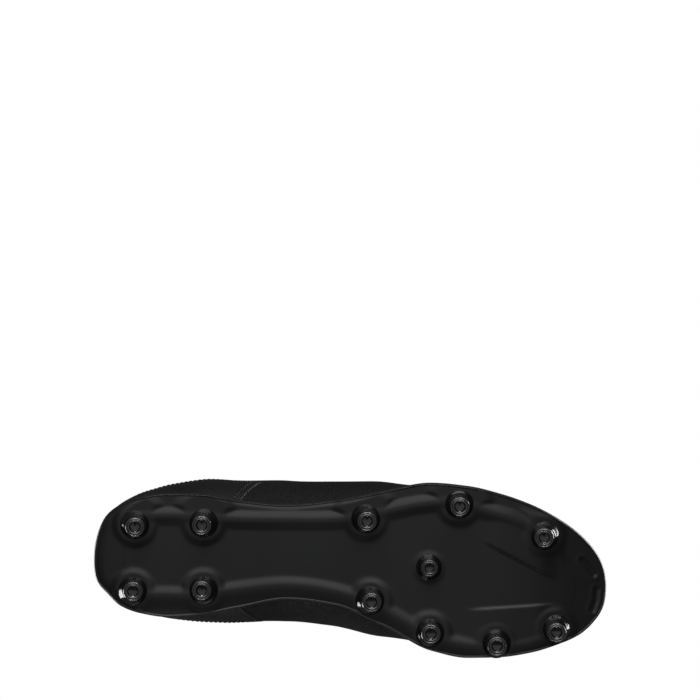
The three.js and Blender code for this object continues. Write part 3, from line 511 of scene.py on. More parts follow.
def pebble_leather(name, dark, light, rough_low, rough_high, pebble_mm, depth_mm, specular):
    """Polyurethane synthetic leather: a roller presses rounded pebbles parted by fine creases."""
    material, tree, surface = start_material(name, rough_low, Specular_IOR_Level=specular)
    where = add_node(tree, "ShaderNodeTexCoord").outputs["Object"]
    cloudy(tree, surface, where, CLOUD_LEATHER, dark, light, rough_low, rough_high)
    bend = add_node(tree, "ShaderNodeTexNoise", links={"Vector": where},
                    values={"Scale": 1000 / (pebble_mm * 5), "Detail": 2.0})
    bent = add_node(tree, "ShaderNodeMix", data_type="VECTOR", values={0: 0.0012},
                    links={4: where, 5: bend.outputs["Color"]})
    cells = add_node(tree, "ShaderNodeTexVoronoi", feature="DISTANCE_TO_EDGE",
                     links={"Vector": bent.outputs[1]},
                     values={"Scale": 1000 / pebble_mm, "Randomness": 0.9})
    dome = add_node(tree, "ShaderNodeMapRange", interpolation_type="SMOOTHSTEP",
                    links={"Value": cells.outputs["Distance"]},
                    values={"From Min": 0.0, "From Max": 0.32})
    pores = add_node(tree, "ShaderNodeTexNoise", links={"Vector": where},
                     values={"Scale": 1000 / PORE_MM, "Detail": 2.0})
    carve(tree, surface, (dome.outputs[0], depth_mm, 0.75), (pores.outputs[0], depth_mm * 0.35, 0.4))
    return material


def woven_textile(name, dark, light, rough, thread_mm, depth_mm, along_uv=False):
    """Woven or knitted polyester: crossing threads, thread_mm apart, with a soft sheen.

    A band that bends is woven along its own UV map, which is in millimetres.
    """
    material, tree, surface = start_material(name, rough, Sheen_Weight=0.25, Sheen_Roughness=0.45)
    if along_uv:
        where, per_unit = add_node(tree, "ShaderNodeUVMap").outputs[0], 1
    else:
        where, per_unit = add_node(tree, "ShaderNodeTexCoord").outputs["Object"], 1000
    threads = []
    for angle in (math.pi / 4, -math.pi / 4):
        turned = add_node(tree, "ShaderNodeMapping", links={"Vector": where},
                          values={"Rotation": (0.0 if along_uv else angle, 0.0, angle)})
        wave = add_node(tree, "ShaderNodeTexWave", links={"Vector": turned.outputs[0]},
                        values={"Scale": per_unit / thread_mm / math.tau, "Distortion": 0.4})
        threads.append(wave.outputs["Fac"])
    weave = add_node(tree, "ShaderNodeMath", operation="MAXIMUM", links={0: threads[0], 1: threads[1]})
    paint = add_node(tree, "ShaderNodeMix", data_type="RGBA", links={0: weave.outputs[0]},
                     values={6: linear(dark), 7: linear(light)})
    tree.links.new(paint.outputs[2], surface.inputs["Base Color"])
    carve(tree, surface, (weave.outputs[0], depth_mm, 0.9))
    return material


def cellular(name, dark, light, rough, cell_mm, depth_mm):
    """Foam, felt or pressed fibre board: an uneven matt surface."""
    material, tree, surface = start_material(name, rough)
    where = add_node(tree, "ShaderNodeTexCoord").outputs["Object"]
    cells = add_node(tree, "ShaderNodeTexVoronoi", links={"Vector": where},
                     values={"Scale": 1000 / cell_mm})
    paint = add_node(tree, "ShaderNodeMix", data_type="RGBA", links={0: cells.outputs["Distance"]},
                     values={6: linear(light), 7: linear(dark)})
    tree.links.new(paint.outputs[2], surface.inputs["Base Color"])
    carve(tree, surface, (cells.outputs["Distance"], depth_mm, 0.8))
    return material


# the sole plate, straight from a spark-eroded mould
TPU_SATIN = moulded_tpu("TPU moulded satin", 0x101113, 0x151618, 0.4, 0.48, 0.5)
# the studs: the same plastic from a polished mould, with a paler highlight painted on the rims of the tips
TPU_POLISHED = moulded_tpu("TPU moulded polished", 0x0A0B0D, 0x0E0F12, 0.16, 0.24, 0.8, highlight_colour=0x48494B,
                           Coat_Weight=1.0, Coat_Roughness=0.07)
# vamp and quarters: pebbles and creases, drawn a little coarser than life so that they show
PU_GRAIN = pebble_leather("polyurethane leather pebbled", 0x09090A, 0x0E0E0F, 0.5, 0.6, 1.15, 0.2, 0.2)
# heel overlay, backstay, facings and tongue: a smoother coat with a finer grain
PU_SMOOTH = pebble_leather("polyurethane leather coated", 0x0A0A0B, 0x0F0F11, 0.36, 0.44, 0.55, 0.05,
                           0.38)
# lining and insole cloth, knitted coarser than life so that the loops show
LINING_KNIT = woven_textile("polyester lining knit", 0x141415, 0x212123, 0.9, 0.9, 0.15)
SOCK_KNIT = woven_textile("polyester insole cloth", 0x131415, 0x1E1F21, 0.92, 1.1, 0.12)
# lace and pull tab, woven along their length
LACE_WEAVE = woven_textile("polyester lace flat woven", 0x08080A, 0x141416, 0.72, 0.9, 0.2,
                           along_uv=True)
WEBBING = woven_textile("polyester webbing", 0x0B0B0D, 0x17181A, 0.8, 1.2, 0.25, along_uv=True)
# sewing thread of the seams
THREAD = start_material("bonded nylon thread", 0.55, Base_Color=linear(0x121213),
                        Specular_IOR_Level=0.3, Sheen_Weight=0.1)[0]
# inside the shoe: insole foam, heel counter and toe puff, and the board that the upper is lasted to
FOAM = cellular("polyurethane foam open cell", 0x1B1C1F, 0x2C2D30, 0.95, 0.7, 0.2)
STIFFENER = cellular("thermoplastic stiffener sheet", 0xB9B3A2, 0xCFCABB, 0.7, 1.6, 0.05)
FIBRE_BOARD = cellular("cellulose insole board", 0xC0B8A4, 0xD6D0BF, 0.85, 0.9, 0.06)
print("materials:", len(bpy.data.materials))

# %% [markdown]
# ## Stitching with Geometry Nodes
# A lockstitch seam is the same short arch of thread again and again along a line, which suits a
# node tree: the line becomes a curve, points are set a stitch apart, and one bead of thread is
# turned to the line and to the surface at each. Inputs name the pitch, length and thickness.

# %% Stitch tree
STITCH_PITCH, STITCH_LENGTH = 3.0, 2.3
THREAD_WIDTH = 0.85      # a real thread is about 0.5 mm, drawn thicker so that it shows


def stitch_tree():
    tree = bpy.data.node_groups.new("lockstitch", "GeometryNodeTree")
    sockets = {}
    for name, kind in (("Line", "Geometry"), ("Pitch", "Float"), ("Stitch length", "Float"),
                       ("Thread width", "Float"), ("Thread", "Material")):
        made = tree.interface.new_socket(name=name, in_out="INPUT", socket_type="NodeSocket" + kind)
        sockets[name] = made.identifier
    tree.interface.new_socket(name="Stitches", in_out="OUTPUT", socket_type="NodeSocketGeometry")
    given = add_node(tree, "NodeGroupInput").outputs
    line = add_node(tree, "GeometryNodeMeshToCurve", links={"Mesh": given["Line"]})
    even = add_node(tree, "GeometryNodeResampleCurve", mode="LENGTH",
                    links={"Curve": line.outputs[0], "Length": given["Pitch"]})
    bead = add_node(tree, "GeometryNodeMeshUVSphere", values={"Segments": 8, "Rings": 6, "Radius": 0.5})
    scale = add_node(tree, "ShaderNodeCombineXYZ",
                     links={"X": given["Stitch length"], "Y": given["Thread width"],
                            "Z": given["Thread width"]})
    tangent = add_node(tree, "GeometryNodeInputTangent")
    normal = add_node(tree, "GeometryNodeInputNamedAttribute", data_type="FLOAT_VECTOR",
                      values={"Name": "surface_normal"})
    along = add_node(tree, "FunctionNodeAlignRotationToVector", axis="X",
                     links={"Vector": tangent.outputs[0]})
    facing = add_node(tree, "FunctionNodeAlignRotationToVector", axis="Z", pivot_axis="X",
                      links={"Rotation": along.outputs[0], "Vector": normal.outputs[0]})
    many = add_node(tree, "GeometryNodeInstanceOnPoints",
                    links={"Points": even.outputs[0], "Instance": bead.outputs[0],
                           "Rotation": facing.outputs[0], "Scale": scale.outputs[0]})
    real = add_node(tree, "GeometryNodeRealizeInstances", links={"Geometry": many.outputs[0]})
    soft = add_node(tree, "GeometryNodeSetShadeSmooth", links={"Geometry": real.outputs[0]})
    paint = add_node(tree, "GeometryNodeSetMaterial",
                     links={"Geometry": soft.outputs[0], "Material": given["Thread"]})
    add_node(tree, "NodeGroupOutput", links={0: paint.outputs[0]})
    return tree, sockets


LOCKSTITCH, STITCH_SOCKETS = stitch_tree()


def sew(name, lines, body="boot", slot="lace_textile", pitch=STITCH_PITCH):
    """Stitches along lines, each a pair of arrays: points in mm and surface normals."""
    points = np.concatenate([line for line, _ in lines])
    normals = np.concatenate([normal for _, normal in lines])
    edges, first = [], 0
    for line, _ in lines:
        edges += [(first + i, first + i + 1) for i in range(len(line) - 1)]
        first += len(line)
    mesh = bpy.data.meshes.new(name + "_line")
    mesh.from_pydata((points * MM).tolist(), edges, [])
    mesh.attributes.new("surface_normal", "FLOAT_VECTOR", "POINT").data.foreach_set(
        "vector", normals.astype(np.float32).ravel())
    guide = bpy.data.objects.new(name + "_line", mesh)
    SCENE.collection.objects.link(guide)
    modifier = guide.modifiers.new("lockstitch", "NODES")
    modifier.node_group = LOCKSTITCH
    for socket, value in (("Pitch", pitch * MM), ("Stitch length", STITCH_LENGTH * MM),
                          ("Thread width", THREAD_WIDTH * MM), ("Thread", THREAD)):
        modifier[STITCH_SOCKETS[socket]] = value
    evaluated = guide.evaluated_get(bpy.context.evaluated_depsgraph_get())
    plain = bpy.data.meshes.new_from_object(evaluated)
    plain.name = name
    bpy.data.objects.remove(guide)
    piece = bpy.data.objects.new(name, plain)
    SCENE.collection.objects.link(piece)
    print(f"{name}: {len(plain.polygons)} faces of thread")
    return place(piece, body, slot)


def seam(stations, heights, lift):
    """A stitch line on the upper at a lift above it."""
    stations, heights = np.broadcast_arrays(np.asarray(stations, float), np.asarray(heights, float))
    return skin(stations, heights, np.full(stations.shape, lift)), upper_normal(stations, heights)


# %% [markdown]
# ## Sole plate
# The plate is injection moulded in one shot: a thin panel, a raised rail that runs from stud to stud
# and slopes away to the edge, a round pad under each stud, a wedge-shaped recess that narrows to the
# toe, two short grooves at the toe, and a lip that cups the upper. The underside is worked out as a
# height at every point of a fine grid, because every one of these features is a smooth height rule.

# %% Relief of the underside
TIP_RADIUS, CENTRE_STUD = 5.4, "stud_forefoot_centre"
STUDS = {   # x and y of the tip, radius of the tip, how far the root leans away in x and in y
    "stud_heel_outer_rear": (-118.5, -24.3, 5.4, -0.7, -0.7),
    "stud_heel_outer_front": (-81.8, -25.2, 5.4, 0.5, -0.8),
    "stud_heel_inner_rear": (-119.6, 11.1, 5.4, -0.7, 0.7),
    "stud_heel_inner_front": (-81.8, 10.6, 5.4, 0.5, 0.9),
    "stud_outer_rear": (9.5, -27.4, 5.4, -0.5, -0.9),
    "stud_outer_middle": (60.6, -35.5, 5.4, 0, -1),
    "stud_outer_front": (107.3, -18.1, 5.4, 0.4, -0.6),
    "stud_forefoot_centre": (43.9, -1.4, 4.7, 0, 0),
    "stud_inner_rear": (12.0, 17.2, 5.4, -0.7, 0),
    "stud_inner_ball_rear": (44.7, 34.6, 5.4, -0.3, 0.5),
    "stud_inner_ball_front": (81.1, 41.4, 5.4, 0, -0.6),
    "stud_inner_front": (114.3, 34.4, 5.4, -0.2, -1.2)}
# the loop along which the rails are highest
CREST = [(-119.5, -28.5), (-101, -30), (-81.5, -29), (-60, -27.6), (-35, -27.2), (-10, -27.4), (9.5, -29.5),
         (28, -34.2), (45, -37), (60.6, -37.2), (79, -31.5), (92, -27.5), (107.5, -19), (120, -8), (125, 4),
         (124, 18), (114.5, 34.6), (100, 41), (81.1, 43), (63, 42), (44.7, 37), (29, 28.5), (12, 19.2),
         (-10, 12.2), (-35, 9.2), (-60, 11.2), (-81.8, 14), (-101, 14.2), (-120, 13), (-127, 4), (-128, -6),
         (-126.5, -18)]
RAIL_HEIGHT = 1.6
PAD_HEIGHT, PAD_SINK, PAD_TOP_RADIUS, PAD_FOOT_RADIUS = 1.9, 0.5, 9.4, 15.2
CENTRE_PAD_SCALE, PAD_STRETCH = 0.72, 0.36
BEAD_HEIGHT, BEAD_INSET, BEAD_WIDTH = 0.75, 0.8, 0.5
GROOVE_DEPTH, GROOVE_LIP = 0.7, 0.15
# how far the rim rises and over what width it rounds up: everywhere, more at the outer waist, and
# more behind the heel
EDGE_DROP, WAIST_DROP, HEEL_DROP = 1.9, 1.3, 0.9
EDGE_ROUND, WAIST_ROUND, HEEL_ROUND = 2.2, 1.5, 4.5
WEDGE_OUTER, WEDGE_INNER, WEDGE_STEP = ((60, -22.5), (120, 9.0)), ((58, 22.3), (122, 18.6)), 1.15
TOE_GROOVES = [((129.8, -4.6), (133.2, -1), (136.2, 3.4)), ((138, 12.2), (137.4, 18), (135.6, 23.2))]


def closed_spline(points, per_span):
    """A Catmull-Rom loop through points."""
    p = np.array(points, float)
    out = []
    for i in range(len(p)):
        a, b, c, d = (p[(i + k - 1) % len(p)] for k in range(4))
        for s in np.arange(per_span) / per_span:
            out.append(0.5 * (2 * b + (c - a) * s + (2 * a - 5 * b + 4 * c - d) * s * s
                              + (3 * b - a - 3 * c + d) * s ** 3))
    return np.array(out)


def distance_to_line(points, line, closed=True):
    """Shortest distance from each point to a polyline."""
    ends = np.roll(line, -1, 0) if closed else line[1:]
    starts = line if closed else line[:-1]
    best = np.full(len(points), 1e9)
    for a, b in zip(starts, ends):
        along = b - a
        s = np.clip((points - a) @ along / max(along @ along, 1e-12), 0, 1)
        best = np.minimum(best, np.linalg.norm(points - a - s[:, None] * along, axis=1))
    return best


def inside(points, loop):
    """True where a point lies inside a closed polyline."""
    x, y = points.T
    hit = np.zeros(len(points), bool)
    for (x1, y1), (x2, y2) in zip(loop, np.roll(loop, -1, 0)):
        if y1 != y2:
            hit ^= ((y1 > y) != (y2 > y)) & (x < (x2 - x1) * (y - y1) / (y2 - y1) + x1)
    return hit


def soft_max(a, b, blend):
    """The larger of two heights, with the crease between them rounded."""
    h = np.clip(0.5 + 0.5 * (a - b) / blend, 0, 1)
    return b * (1 - h) + a * h + blend * h * (1 - h)


def signed_side(points, line):
    """Distance from a straight line, positive on its left."""
    (x1, y1), (x2, y2) = line
    length = math.hypot(x2 - x1, y2 - y1)
    return ((x2 - x1) * (points[:, 1] - y1) - (y2 - y1) * (points[:, 0] - x1)) / length


EDGE_LOOP = on_outline(np.linspace(-1, 1, 360, endpoint=False))
CREST_LOOP = closed_spline(CREST, 5)


def beside_outer_edge(x, y):
    return step(4, -4, y - 0.06 * x + 4)


def outer_waist(x, y):
    return step(-78, -56, x) * (1 - step(0, 22, x)) * beside_outer_edge(x, y)


def behind_heel(x):
    return step(-112, -128, x)


def relief(points):
    """How far the underside stands out towards the ground from the flat panel, in mm."""
    x, y = points.T
    to_edge = distance_to_line(points, EDGE_LOOP)
    to_crest = distance_to_line(points, CREST_LOOP)
    within = inside(points, CREST_LOOP)
    outer_side = beside_outer_edge(x, y)
    heel_end = behind_heel(x)
    waist = outer_waist(x, y)
    crest = RAIL_HEIGHT * (1 - step(112, 122, x)) * (1 - step(-121, -127, x))
    # the rail falls steeply to the outer edge, gently to the inner one, and to the panel inside
    steep_fall = crest * (1 - step(0.3, 7.0, to_crest))
    gentle_fall = crest * (1 - 0.85 * step(0, 9.5, to_crest))
    outer = gentle_fall + (steep_fall - gentle_fall) * outer_side
    inner = crest * (1 - step(0.4, 7.2, to_crest))
    height = np.where(within, inner, outer)
    fade_outer = step(70, 84, x) * (1 - step(106, 119, x))
    fade_inner = step(60, 76, x) * (1 - step(102, 121, x))
    wedge_outer = step(-1.1, 1.1, -signed_side(points, WEDGE_OUTER)) * fade_outer
    wedge_inner = step(-1.0, 1.0, signed_side(points, WEDGE_INNER)) * fade_inner
    plateau = WEDGE_STEP * np.maximum(wedge_outer, wedge_inner)
    height = np.where(within, soft_max(height, plateau, 0.6), height)
    # the pads stretch out to the outer edge, but not round the heel or the toe
    reach = outer_side * (1 - heel_end) * (1 - step(94, 110, x))
    stretch = 1 - PAD_STRETCH * reach * np.where(within, 0, step(0, 7, to_crest))
    for name, (stud_x, stud_y, _, lean_x, lean_y) in STUDS.items():
        away = np.hypot(x - stud_x - lean_x, y - stud_y - lean_y) * stretch
        small = CENTRE_PAD_SCALE if name == CENTRE_STUD else 1.0
        foot = step(PAD_TOP_RADIUS * small, PAD_FOOT_RADIUS * small, away)
        pad = PAD_HEIGHT * small * (1 - foot) - PAD_SINK
        height = soft_max(height, pad, 0.8)
    for groove in TOE_GROOVES:
        away = distance_to_line(points, np.array(groove), closed=False)
        lip = GROOVE_LIP * np.exp(-((away - 2.8) / 1.2) ** 2)
        height += lip - GROOVE_DEPTH * (1 - step(0.1, 2.5, away))
    # the rim rounds up over this width, and a thin bead follows it
    round_width = EDGE_ROUND + WAIST_ROUND * waist + HEEL_ROUND * heel_end
    fall = np.clip(1 - to_edge / round_width, 0, 1)
    height -= edge_drop(points) * (1 - np.sqrt(1 - fall ** 2))
    return height + BEAD_HEIGHT * np.exp(-((to_edge - BEAD_INSET) / BEAD_WIDTH) ** 2)


def edge_drop(points):
    """How far the plate's rounded edge rises at its rim: more at the waist and behind the heel."""
    x, y = points.T
    return EDGE_DROP + WAIST_DROP * outer_waist(x, y) + HEEL_DROP * behind_heel(x)


print("relief at panel and rail:", relief(np.array([[-100.0, -6.0], [-100.0, 12.5]])).round(2))

# %% [markdown]
# ## The plate as one closed sweep
# The plate is swept from heel to toe. Each row of the grid goes round one cross-section: up inside
# the lip, over its rounded top, down the outside, across the underside, and up the other side.

# %% Plate mesh
LIP_HEIGHT, LIP_GAP, LIP_THICKNESS, RIM_RISE = 4.5, 0.15, 1.55, 0.8
PLATE_ROWS, PLATE_ACROSS, PLATE_TOP = 370, 190, 12


def lip_height_share(station):
    rise = upper_point(station, 0.1)[..., 2] - upper_point(station, 0)[..., 2]
    return 0.1 * LIP_HEIGHT / rise


def lip_section(station):
    """Points from the inner foot of the lip, over its top, to the plate's widest edge."""
    t = lip_height_share(station)
    normal = upper_normal(station, t)
    rings = [skin(station, np.zeros_like(t), np.full(t.shape, LIP_GAP)) - np.array([0, 0, GAP])]
    rings.append(skin(station, t * 0.8, np.full(t.shape, LIP_GAP)))
    centre = skin(station, t, np.full(t.shape, LIP_GAP + LIP_THICKNESS / 2))
    up = unit(skin(station, t + 0.02, np.zeros(t.shape)) - skin(station, t, np.zeros(t.shape)))
    for angle in np.radians([180, 150, 120, 90, 60, 30, 0]):
        rings.append(centre + LIP_THICKNESS / 2 * (math.cos(angle) * normal + math.sin(angle) * up))
    rings.append(skin(station, t * 0.72, np.full(t.shape, LIP_GAP + LIP_THICKNESS * 0.86)))
    rings.append(skin(station, t * 0.45, np.full(t.shape, LIP_GAP + LIP_THICKNESS * 0.8)))
    edge = on_outline(station)
    height = underside(edge[..., 0]) + edge_drop(edge) + RIM_RISE
    rings.append(np.concatenate([edge, height[..., None]], -1))
    return np.stack(rings, 1)


def cosine_shares(count):
    """Shares from 0 to 1, crowded at both ends."""
    return 0.5 - 0.5 * np.cos(np.linspace(0, np.pi, count))


def between(left, right, shares):
    """Rows of points between two border lines."""
    shares = shares[None, :, None]
    return left[:, None] * (1 - shares) + right[:, None] * shares


def make_plate():
    u = np.linspace(0, 1, PLATE_ROWS)
    outer, inner = lip_section(-u), lip_section(u)
    left, right = on_outline(-u), on_outline(u)
    plan = between(left, right, cosine_shares(PLATE_ACROSS))
    height = relief(plan.reshape(-1, 2)).reshape(PLATE_ROWS, PLATE_ACROSS)
    bottom = np.concatenate([plan, (underside(plan[..., 0]) - height)[..., None]], -1)
    top = between(outer[:, 0], inner[:, 0], np.linspace(0, 1, PLATE_TOP + 2)[1:-1])
    top[..., 2] = underside(top[..., 0]) + PLATE_THICKNESS
    ring = np.concatenate([outer, bottom, inner[:, ::-1], top[:, ::-1]], 1)
    faces = grid_faces(PLATE_ROWS, ring.shape[1], wrap=True)
    return finish_mesh("sole_plate_moulded", ring.reshape(-1, 3), faces, 40)


plate = place(make_plate(), "boot", "sole_plate", ["outsole_plate"], TPU_SATIN)
print("sole plate:", len(plate.data.polygons), "faces")

# %% [markdown]
# ## Studs
# Each stud is a tapered cone that flares into its pad, with two rims round a six-sided recess in
# its tip. All rings of the mesh have the same number of points, and the recess rings follow a
# hexagon instead of a circle, so no cutting is needed. An attribute marks the low rims of the tip,
# where a paler highlight is painted.

# %% Stud meshes
STUD_LENGTH, CENTRE_STUD_TIP_Z, ROOT_SINK, RING = 11.5, 3.2, 0.8, 60
TOE_SPRING_X = 90        # studs ahead of this are as long as the others, on a plate that curves up
# the last constant is how high up the tip the paler painted highlight reaches, in mm
HEX_FLATS, HEX_DEPTH, HEX_DISH, HEX_SOFTNESS, HIGHLIGHT_DEPTH = 5.2, 2.4, 0.5, 0.15, 0.75
# radius and height of the rings over the tip's two rims, for a stud of the usual radius
RIMS = [(2.98, 0.85), (3.08, 0.55), (3.25, 0.3), (3.48, 0.12), (3.72, 0.06), (3.96, 0.14), (4.14, 0.32),
        (4.2, 0.5), (4.28, 0.56), (4.36, 0.46), (4.44, 0.26), (4.56, 0.08), (4.7, 0.0), (4.88, 0.08),
        (5.08, 0.26), (5.26, 0.54), (5.38, 0.92), (5.44, 1.4)]
# radius of the flank at shares of the stud's height
FLANK = [(5.5, 0.2), (5.58, 0.4), (5.7, 0.54), (5.9, 0.64), (6.2, 0.71), (6.7, 0.78), (7.25, 0.85),
         (7.75, 0.92), (8.3, 1.0)]


def hexagon(angles):
    """Radius of a rounded hexagon whose corners point along +Y and -Y."""
    folded = (angles + math.pi / 6) % (math.pi / 3) - math.pi / 6
    return (HEX_FLATS / 2) * ((1 - HEX_SOFTNESS) / np.cos(folded) + HEX_SOFTNESS * 1.04)


def make_stud(name, x, y, tip, lean_x, lean_y):
    low = 0.0
    if name == CENTRE_STUD:
        low = CENTRE_STUD_TIP_Z
    elif x > TOE_SPRING_X:
        low = float(underside(x)) - STUD_LENGTH
    height = float(underside(x)) - ROOT_SINK - low
    angles = np.linspace(0, math.tau, RING, endpoint=False)
    recess = hexagon(angles)
    rings = [(recess * k, HEX_DEPTH + HEX_DISH * (1 - k)) for k in (0.01, 0.5, 0.9)]
    rings += [(recess * 0.98, HEX_DEPTH - 0.3), (recess, 1.1)]
    rings += RIMS + [(radius, height * share) for radius, share in FLANK]
    verts = []
    for radius, z in rings:
        wide, share = radius * tip / TIP_RADIUS, z / height
        verts.append(np.stack([x + lean_x * share - wide * np.sin(angles),
                               y + lean_y * share + wide * np.cos(angles), np.full(RING, low + z)], -1))
    faces = grid_faces(len(rings), RING, wrap=True)
    last = (len(rings) - 1) * RING
    faces += [list(range(RING)), [last + k for k in reversed(range(RING))]]
    stud = finish_mesh(name + "_tip", np.concatenate(verts), faces, 32)
    # a paler highlight is painted on the rims near the tip, fading out with height
    heights = np.array([v.co.z / MM - low for v in stud.data.vertices], np.float32)
    painted_highlight = stud.data.attributes.new("painted_highlight", "FLOAT", "POINT")
    painted_highlight.data.foreach_set("value", np.clip(1 - heights / HIGHLIGHT_DEPTH, 0, 1))
    place(stud, "boot", "stud_tip", [name], TPU_POLISHED)


for stud_name, numbers in STUDS.items():
    make_stud(stud_name, *numbers)
print("studs:", len(STUDS))

# %% [markdown]
# ## Main panels of the upper
# The vamp covers the toes and laps over the two quarters, whose edges are thinned (skived) under it.
# The quarters meet at the back of the heel. All follow the one surface of the last, so a step at a
# seam is just a change of lift. The rear of the quarters stops short of the top line, where the
# padded collar rolls over.

# %% Vamp and quarters
PANEL, LAP = 1.2, 0.95                   # thickness of a panel, and how deep an edge is tucked in
VAMP_LENGTH, QUARTER_LENGTH, QUARTER_HEIGHT = 330, 190, 95
# each quilting row's gap ahead of the seam, at the foot and at the ridge
QUILT_ROWS = ((0.05, 0.16), (0.085, 0.2), (0.12, 0.25))
QUILT_DEPTH, QUILT_WIDTH = 0.32, 0.0045


def vamp_seam(t):
    """Station of the vamp's rear edge: it sweeps forward as it climbs to the throat."""
    return 0.585 + 0.03 * np.sin(np.pi * np.clip(t, 0, 1)) ** 2 - 0.004 * t


def quilt_station(row, t):
    """Station of a quilting row on the vamp: it follows the seam and leaves it towards the ridge."""
    at_foot, at_ridge = row
    return vamp_seam(t) + at_foot + (at_ridge - at_foot) * t ** 1.5


def quilt_groove(u, t):
    """A quilting row pulls the vamp in along a shallow valley."""
    valley = sum(np.exp(-((u - quilt_station(row, t)) / QUILT_WIDTH) ** 2) for row in QUILT_ROWS)
    return QUILT_DEPTH * valley * step(0.3, 0.42, t) * (1 - step(0.93, 0.985, t))


def make_vamp():
    a = crowded(230, 300, 1.6)
    b = np.concatenate([np.linspace(0, 0.9, 80), np.linspace(0.9, 1, 18)[1:]])
    t = np.broadcast_to(b[None, :], (len(a), len(b)))
    rear = vamp_seam(t)
    station = rear + (2 - 2 * rear) * a[:, None]
    _, u = fold(station)
    distance = np.minimum(a, 1 - a)[:, None] * VAMP_LENGTH
    lift = -LAP * (1 - rounded(distance, 1.2)) - quilt_groove(u, t)
    on_ridge = u[:, -1] >= RIDGE_START
    return closed_shell("vamp_skin", skin(station, t, lift), skin(station, t, np.full(t.shape, -PANEL)),
                        open_rows=on_ridge[:-1] & on_ridge[1:])


def make_quarter(name, side):
    a = crowded(210, QUARTER_LENGTH, 1.6)[:, None]
    b = crowded(84, QUARTER_HEIGHT, 1.2)[None, :]
    u = a * (vamp_seam(b) + 0.02)
    t = b * (0.955 + 0.045 * step(0.335, 0.365, u))      # lower where the collar rolls over it
    under_vamp = step(vamp_seam(t) - 0.075, vamp_seam(t) - 0.012, u)
    lift = -LAP * under_vamp - 0.35 * (1 - rounded((1 - b) * QUARTER_HEIGHT, 1.0))
    return closed_shell(name, skin(side * u, t, lift), skin(side * u, t, np.full(t.shape, -PANEL - 0.2)))


vamp = place(make_vamp(), "boot", "upper_synthetic", ["vamp"], PU_GRAIN)
for side, label in ((-1, "outer"), (1, "inner")):
    quarter = make_quarter(f"quarter_{label}_skin", side)
    place(quarter, "boot", "upper_synthetic", [f"quarter_{label}"], PU_GRAIN)
print("vamp:", len(vamp.data.polygons), "faces")

# %% [markdown]
# ## Overlays
# Smooth coated overlays reinforce the heel, the back seam and the lace rows. Each is a patch of the
# last's surface with rounded edges, lying on the panel below. A border function gives its shape, so
# the heel overlay can slant forward at its front edge and dip at its top. A boolean cuts the eyelets.

# %% Heel overlay, backstay and facings
OVERLAY, OVERLAY_SINK, HEEL_LIFT, BACKSTAY_LIFT = 0.9, 0.35, -0.35, 0.5
FACING_START, FACING_END, FACING_TOP = 0.356, 0.588, 0.997
EYELET_ROWS, EYELET_FIRST, EYELET_LAST, EYELET_T, EYELET_RADIUS = 6, 0.385, 0.565, 0.9, 2.1


def overlay(name, border, lift, counts, spans):
    """A raised patch. border(a, b) maps the unit square to stations and heights on the upper."""
    a = crowded(counts[0], spans[0], 1.4)[:, None]
    b = crowded(counts[1], spans[1], 1.4)[None, :]
    a, b = np.broadcast_arrays(a, b)
    station, t = border(a, b)
    near = np.minimum(np.minimum(a, 1 - a) * spans[0], np.minimum(b, 1 - b) * spans[1])
    face = skin(station, t, lift + OVERLAY * rounded(near, 1.0))
    back = skin(station, t, np.full(t.shape, lift - OVERLAY_SINK))
    return closed_shell(name, face, back)


def heel_front(t):
    return 0.352 + 0.075 * t


def heel_top(share):
    return 0.63 - 0.25 * np.abs(share) ** 1.6


def heel_border(a, b):
    share = 2 * a - 1
    t = b * heel_top(share)
    return share * heel_front(t), t


def backstay_border(a, b):
    return (2 * a - 1) * (0.052 - 0.016 * b), 0.5 + 0.462 * b


def facing_low(u):
    """Lower border of the facing: wide at the ankle, narrow at the throat."""
    return 0.815 - 0.05 * step(0.42, 0.36, u)


def facing_border(a, b):
    u = FACING_START + (FACING_END - FACING_START) * a
    return u, facing_low(u) + (FACING_TOP - facing_low(u)) * b


def outer_facing_border(a, b):
    u, t = facing_border(a, b)
    return -u, t


def eyelet_station(row):
    return EYELET_FIRST + row * (EYELET_LAST - EYELET_FIRST) / (EYELET_ROWS - 1)


def punch(piece, side):
    """Punches the lace holes through a facing with one boolean."""
    cutters = bmesh.new()
    for row in range(EYELET_ROWS):
        where = skin(side * eyelet_station(row), EYELET_T, np.array(0.0))
        normal = Vector(upper_normal(side * eyelet_station(row), EYELET_T))
        turn = normal.to_track_quat("Z", "Y").to_matrix().to_4x4()
        turn.translation = Vector(where * MM)
        bmesh.ops.create_cone(cutters, cap_ends=True, segments=32, radius1=EYELET_RADIUS * MM,
                              radius2=EYELET_RADIUS * MM, depth=6 * MM, matrix=turn)
    mesh = bpy.data.meshes.new("punches")
    cutters.to_mesh(mesh)
    cutters.free()
    punches = bpy.data.objects.new("punches", mesh)
    SCENE.collection.objects.link(punches)
    cut = piece.modifiers.new("punch", "BOOLEAN")
    cut.object, cut.operation, cut.solver = punches, "DIFFERENCE", "EXACT"
    evaluated = piece.evaluated_get(bpy.context.evaluated_depsgraph_get())
    punched = bpy.data.meshes.new_from_object(evaluated)
    piece.modifiers.clear()
    piece.data = punched
    bpy.data.objects.remove(punches)
    return piece


heel_overlay = overlay("heel_overlay_skin", heel_border, HEEL_LIFT, (190, 56), (215, 45))
place(heel_overlay, "boot", "overlay_synthetic", ["heel_overlay"], PU_SMOOTH)
backstay = overlay("heel_backstay_skin", backstay_border, BACKSTAY_LIFT, (40, 60), (24, 36))
place(backstay, "boot", "overlay_synthetic", ["heel_backstay"], PU_SMOOTH)
for side, label, border in ((-1, "outer", outer_facing_border), (1, "inner", facing_border)):
    facing = punch(overlay(f"facing_{label}_skin", border, 0.0, (130, 34), (92, 15)), side)
    place(facing, "boot", "overlay_synthetic", [f"facing_{label}"], PU_SMOOTH)
    facing.data.polygons.foreach_set("use_smooth", [True] * len(facing.data.polygons))
    facing.data.set_sharp_from_angle(angle=math.radians(35))
print("overlays ready, eyelets per side:", EYELET_ROWS)

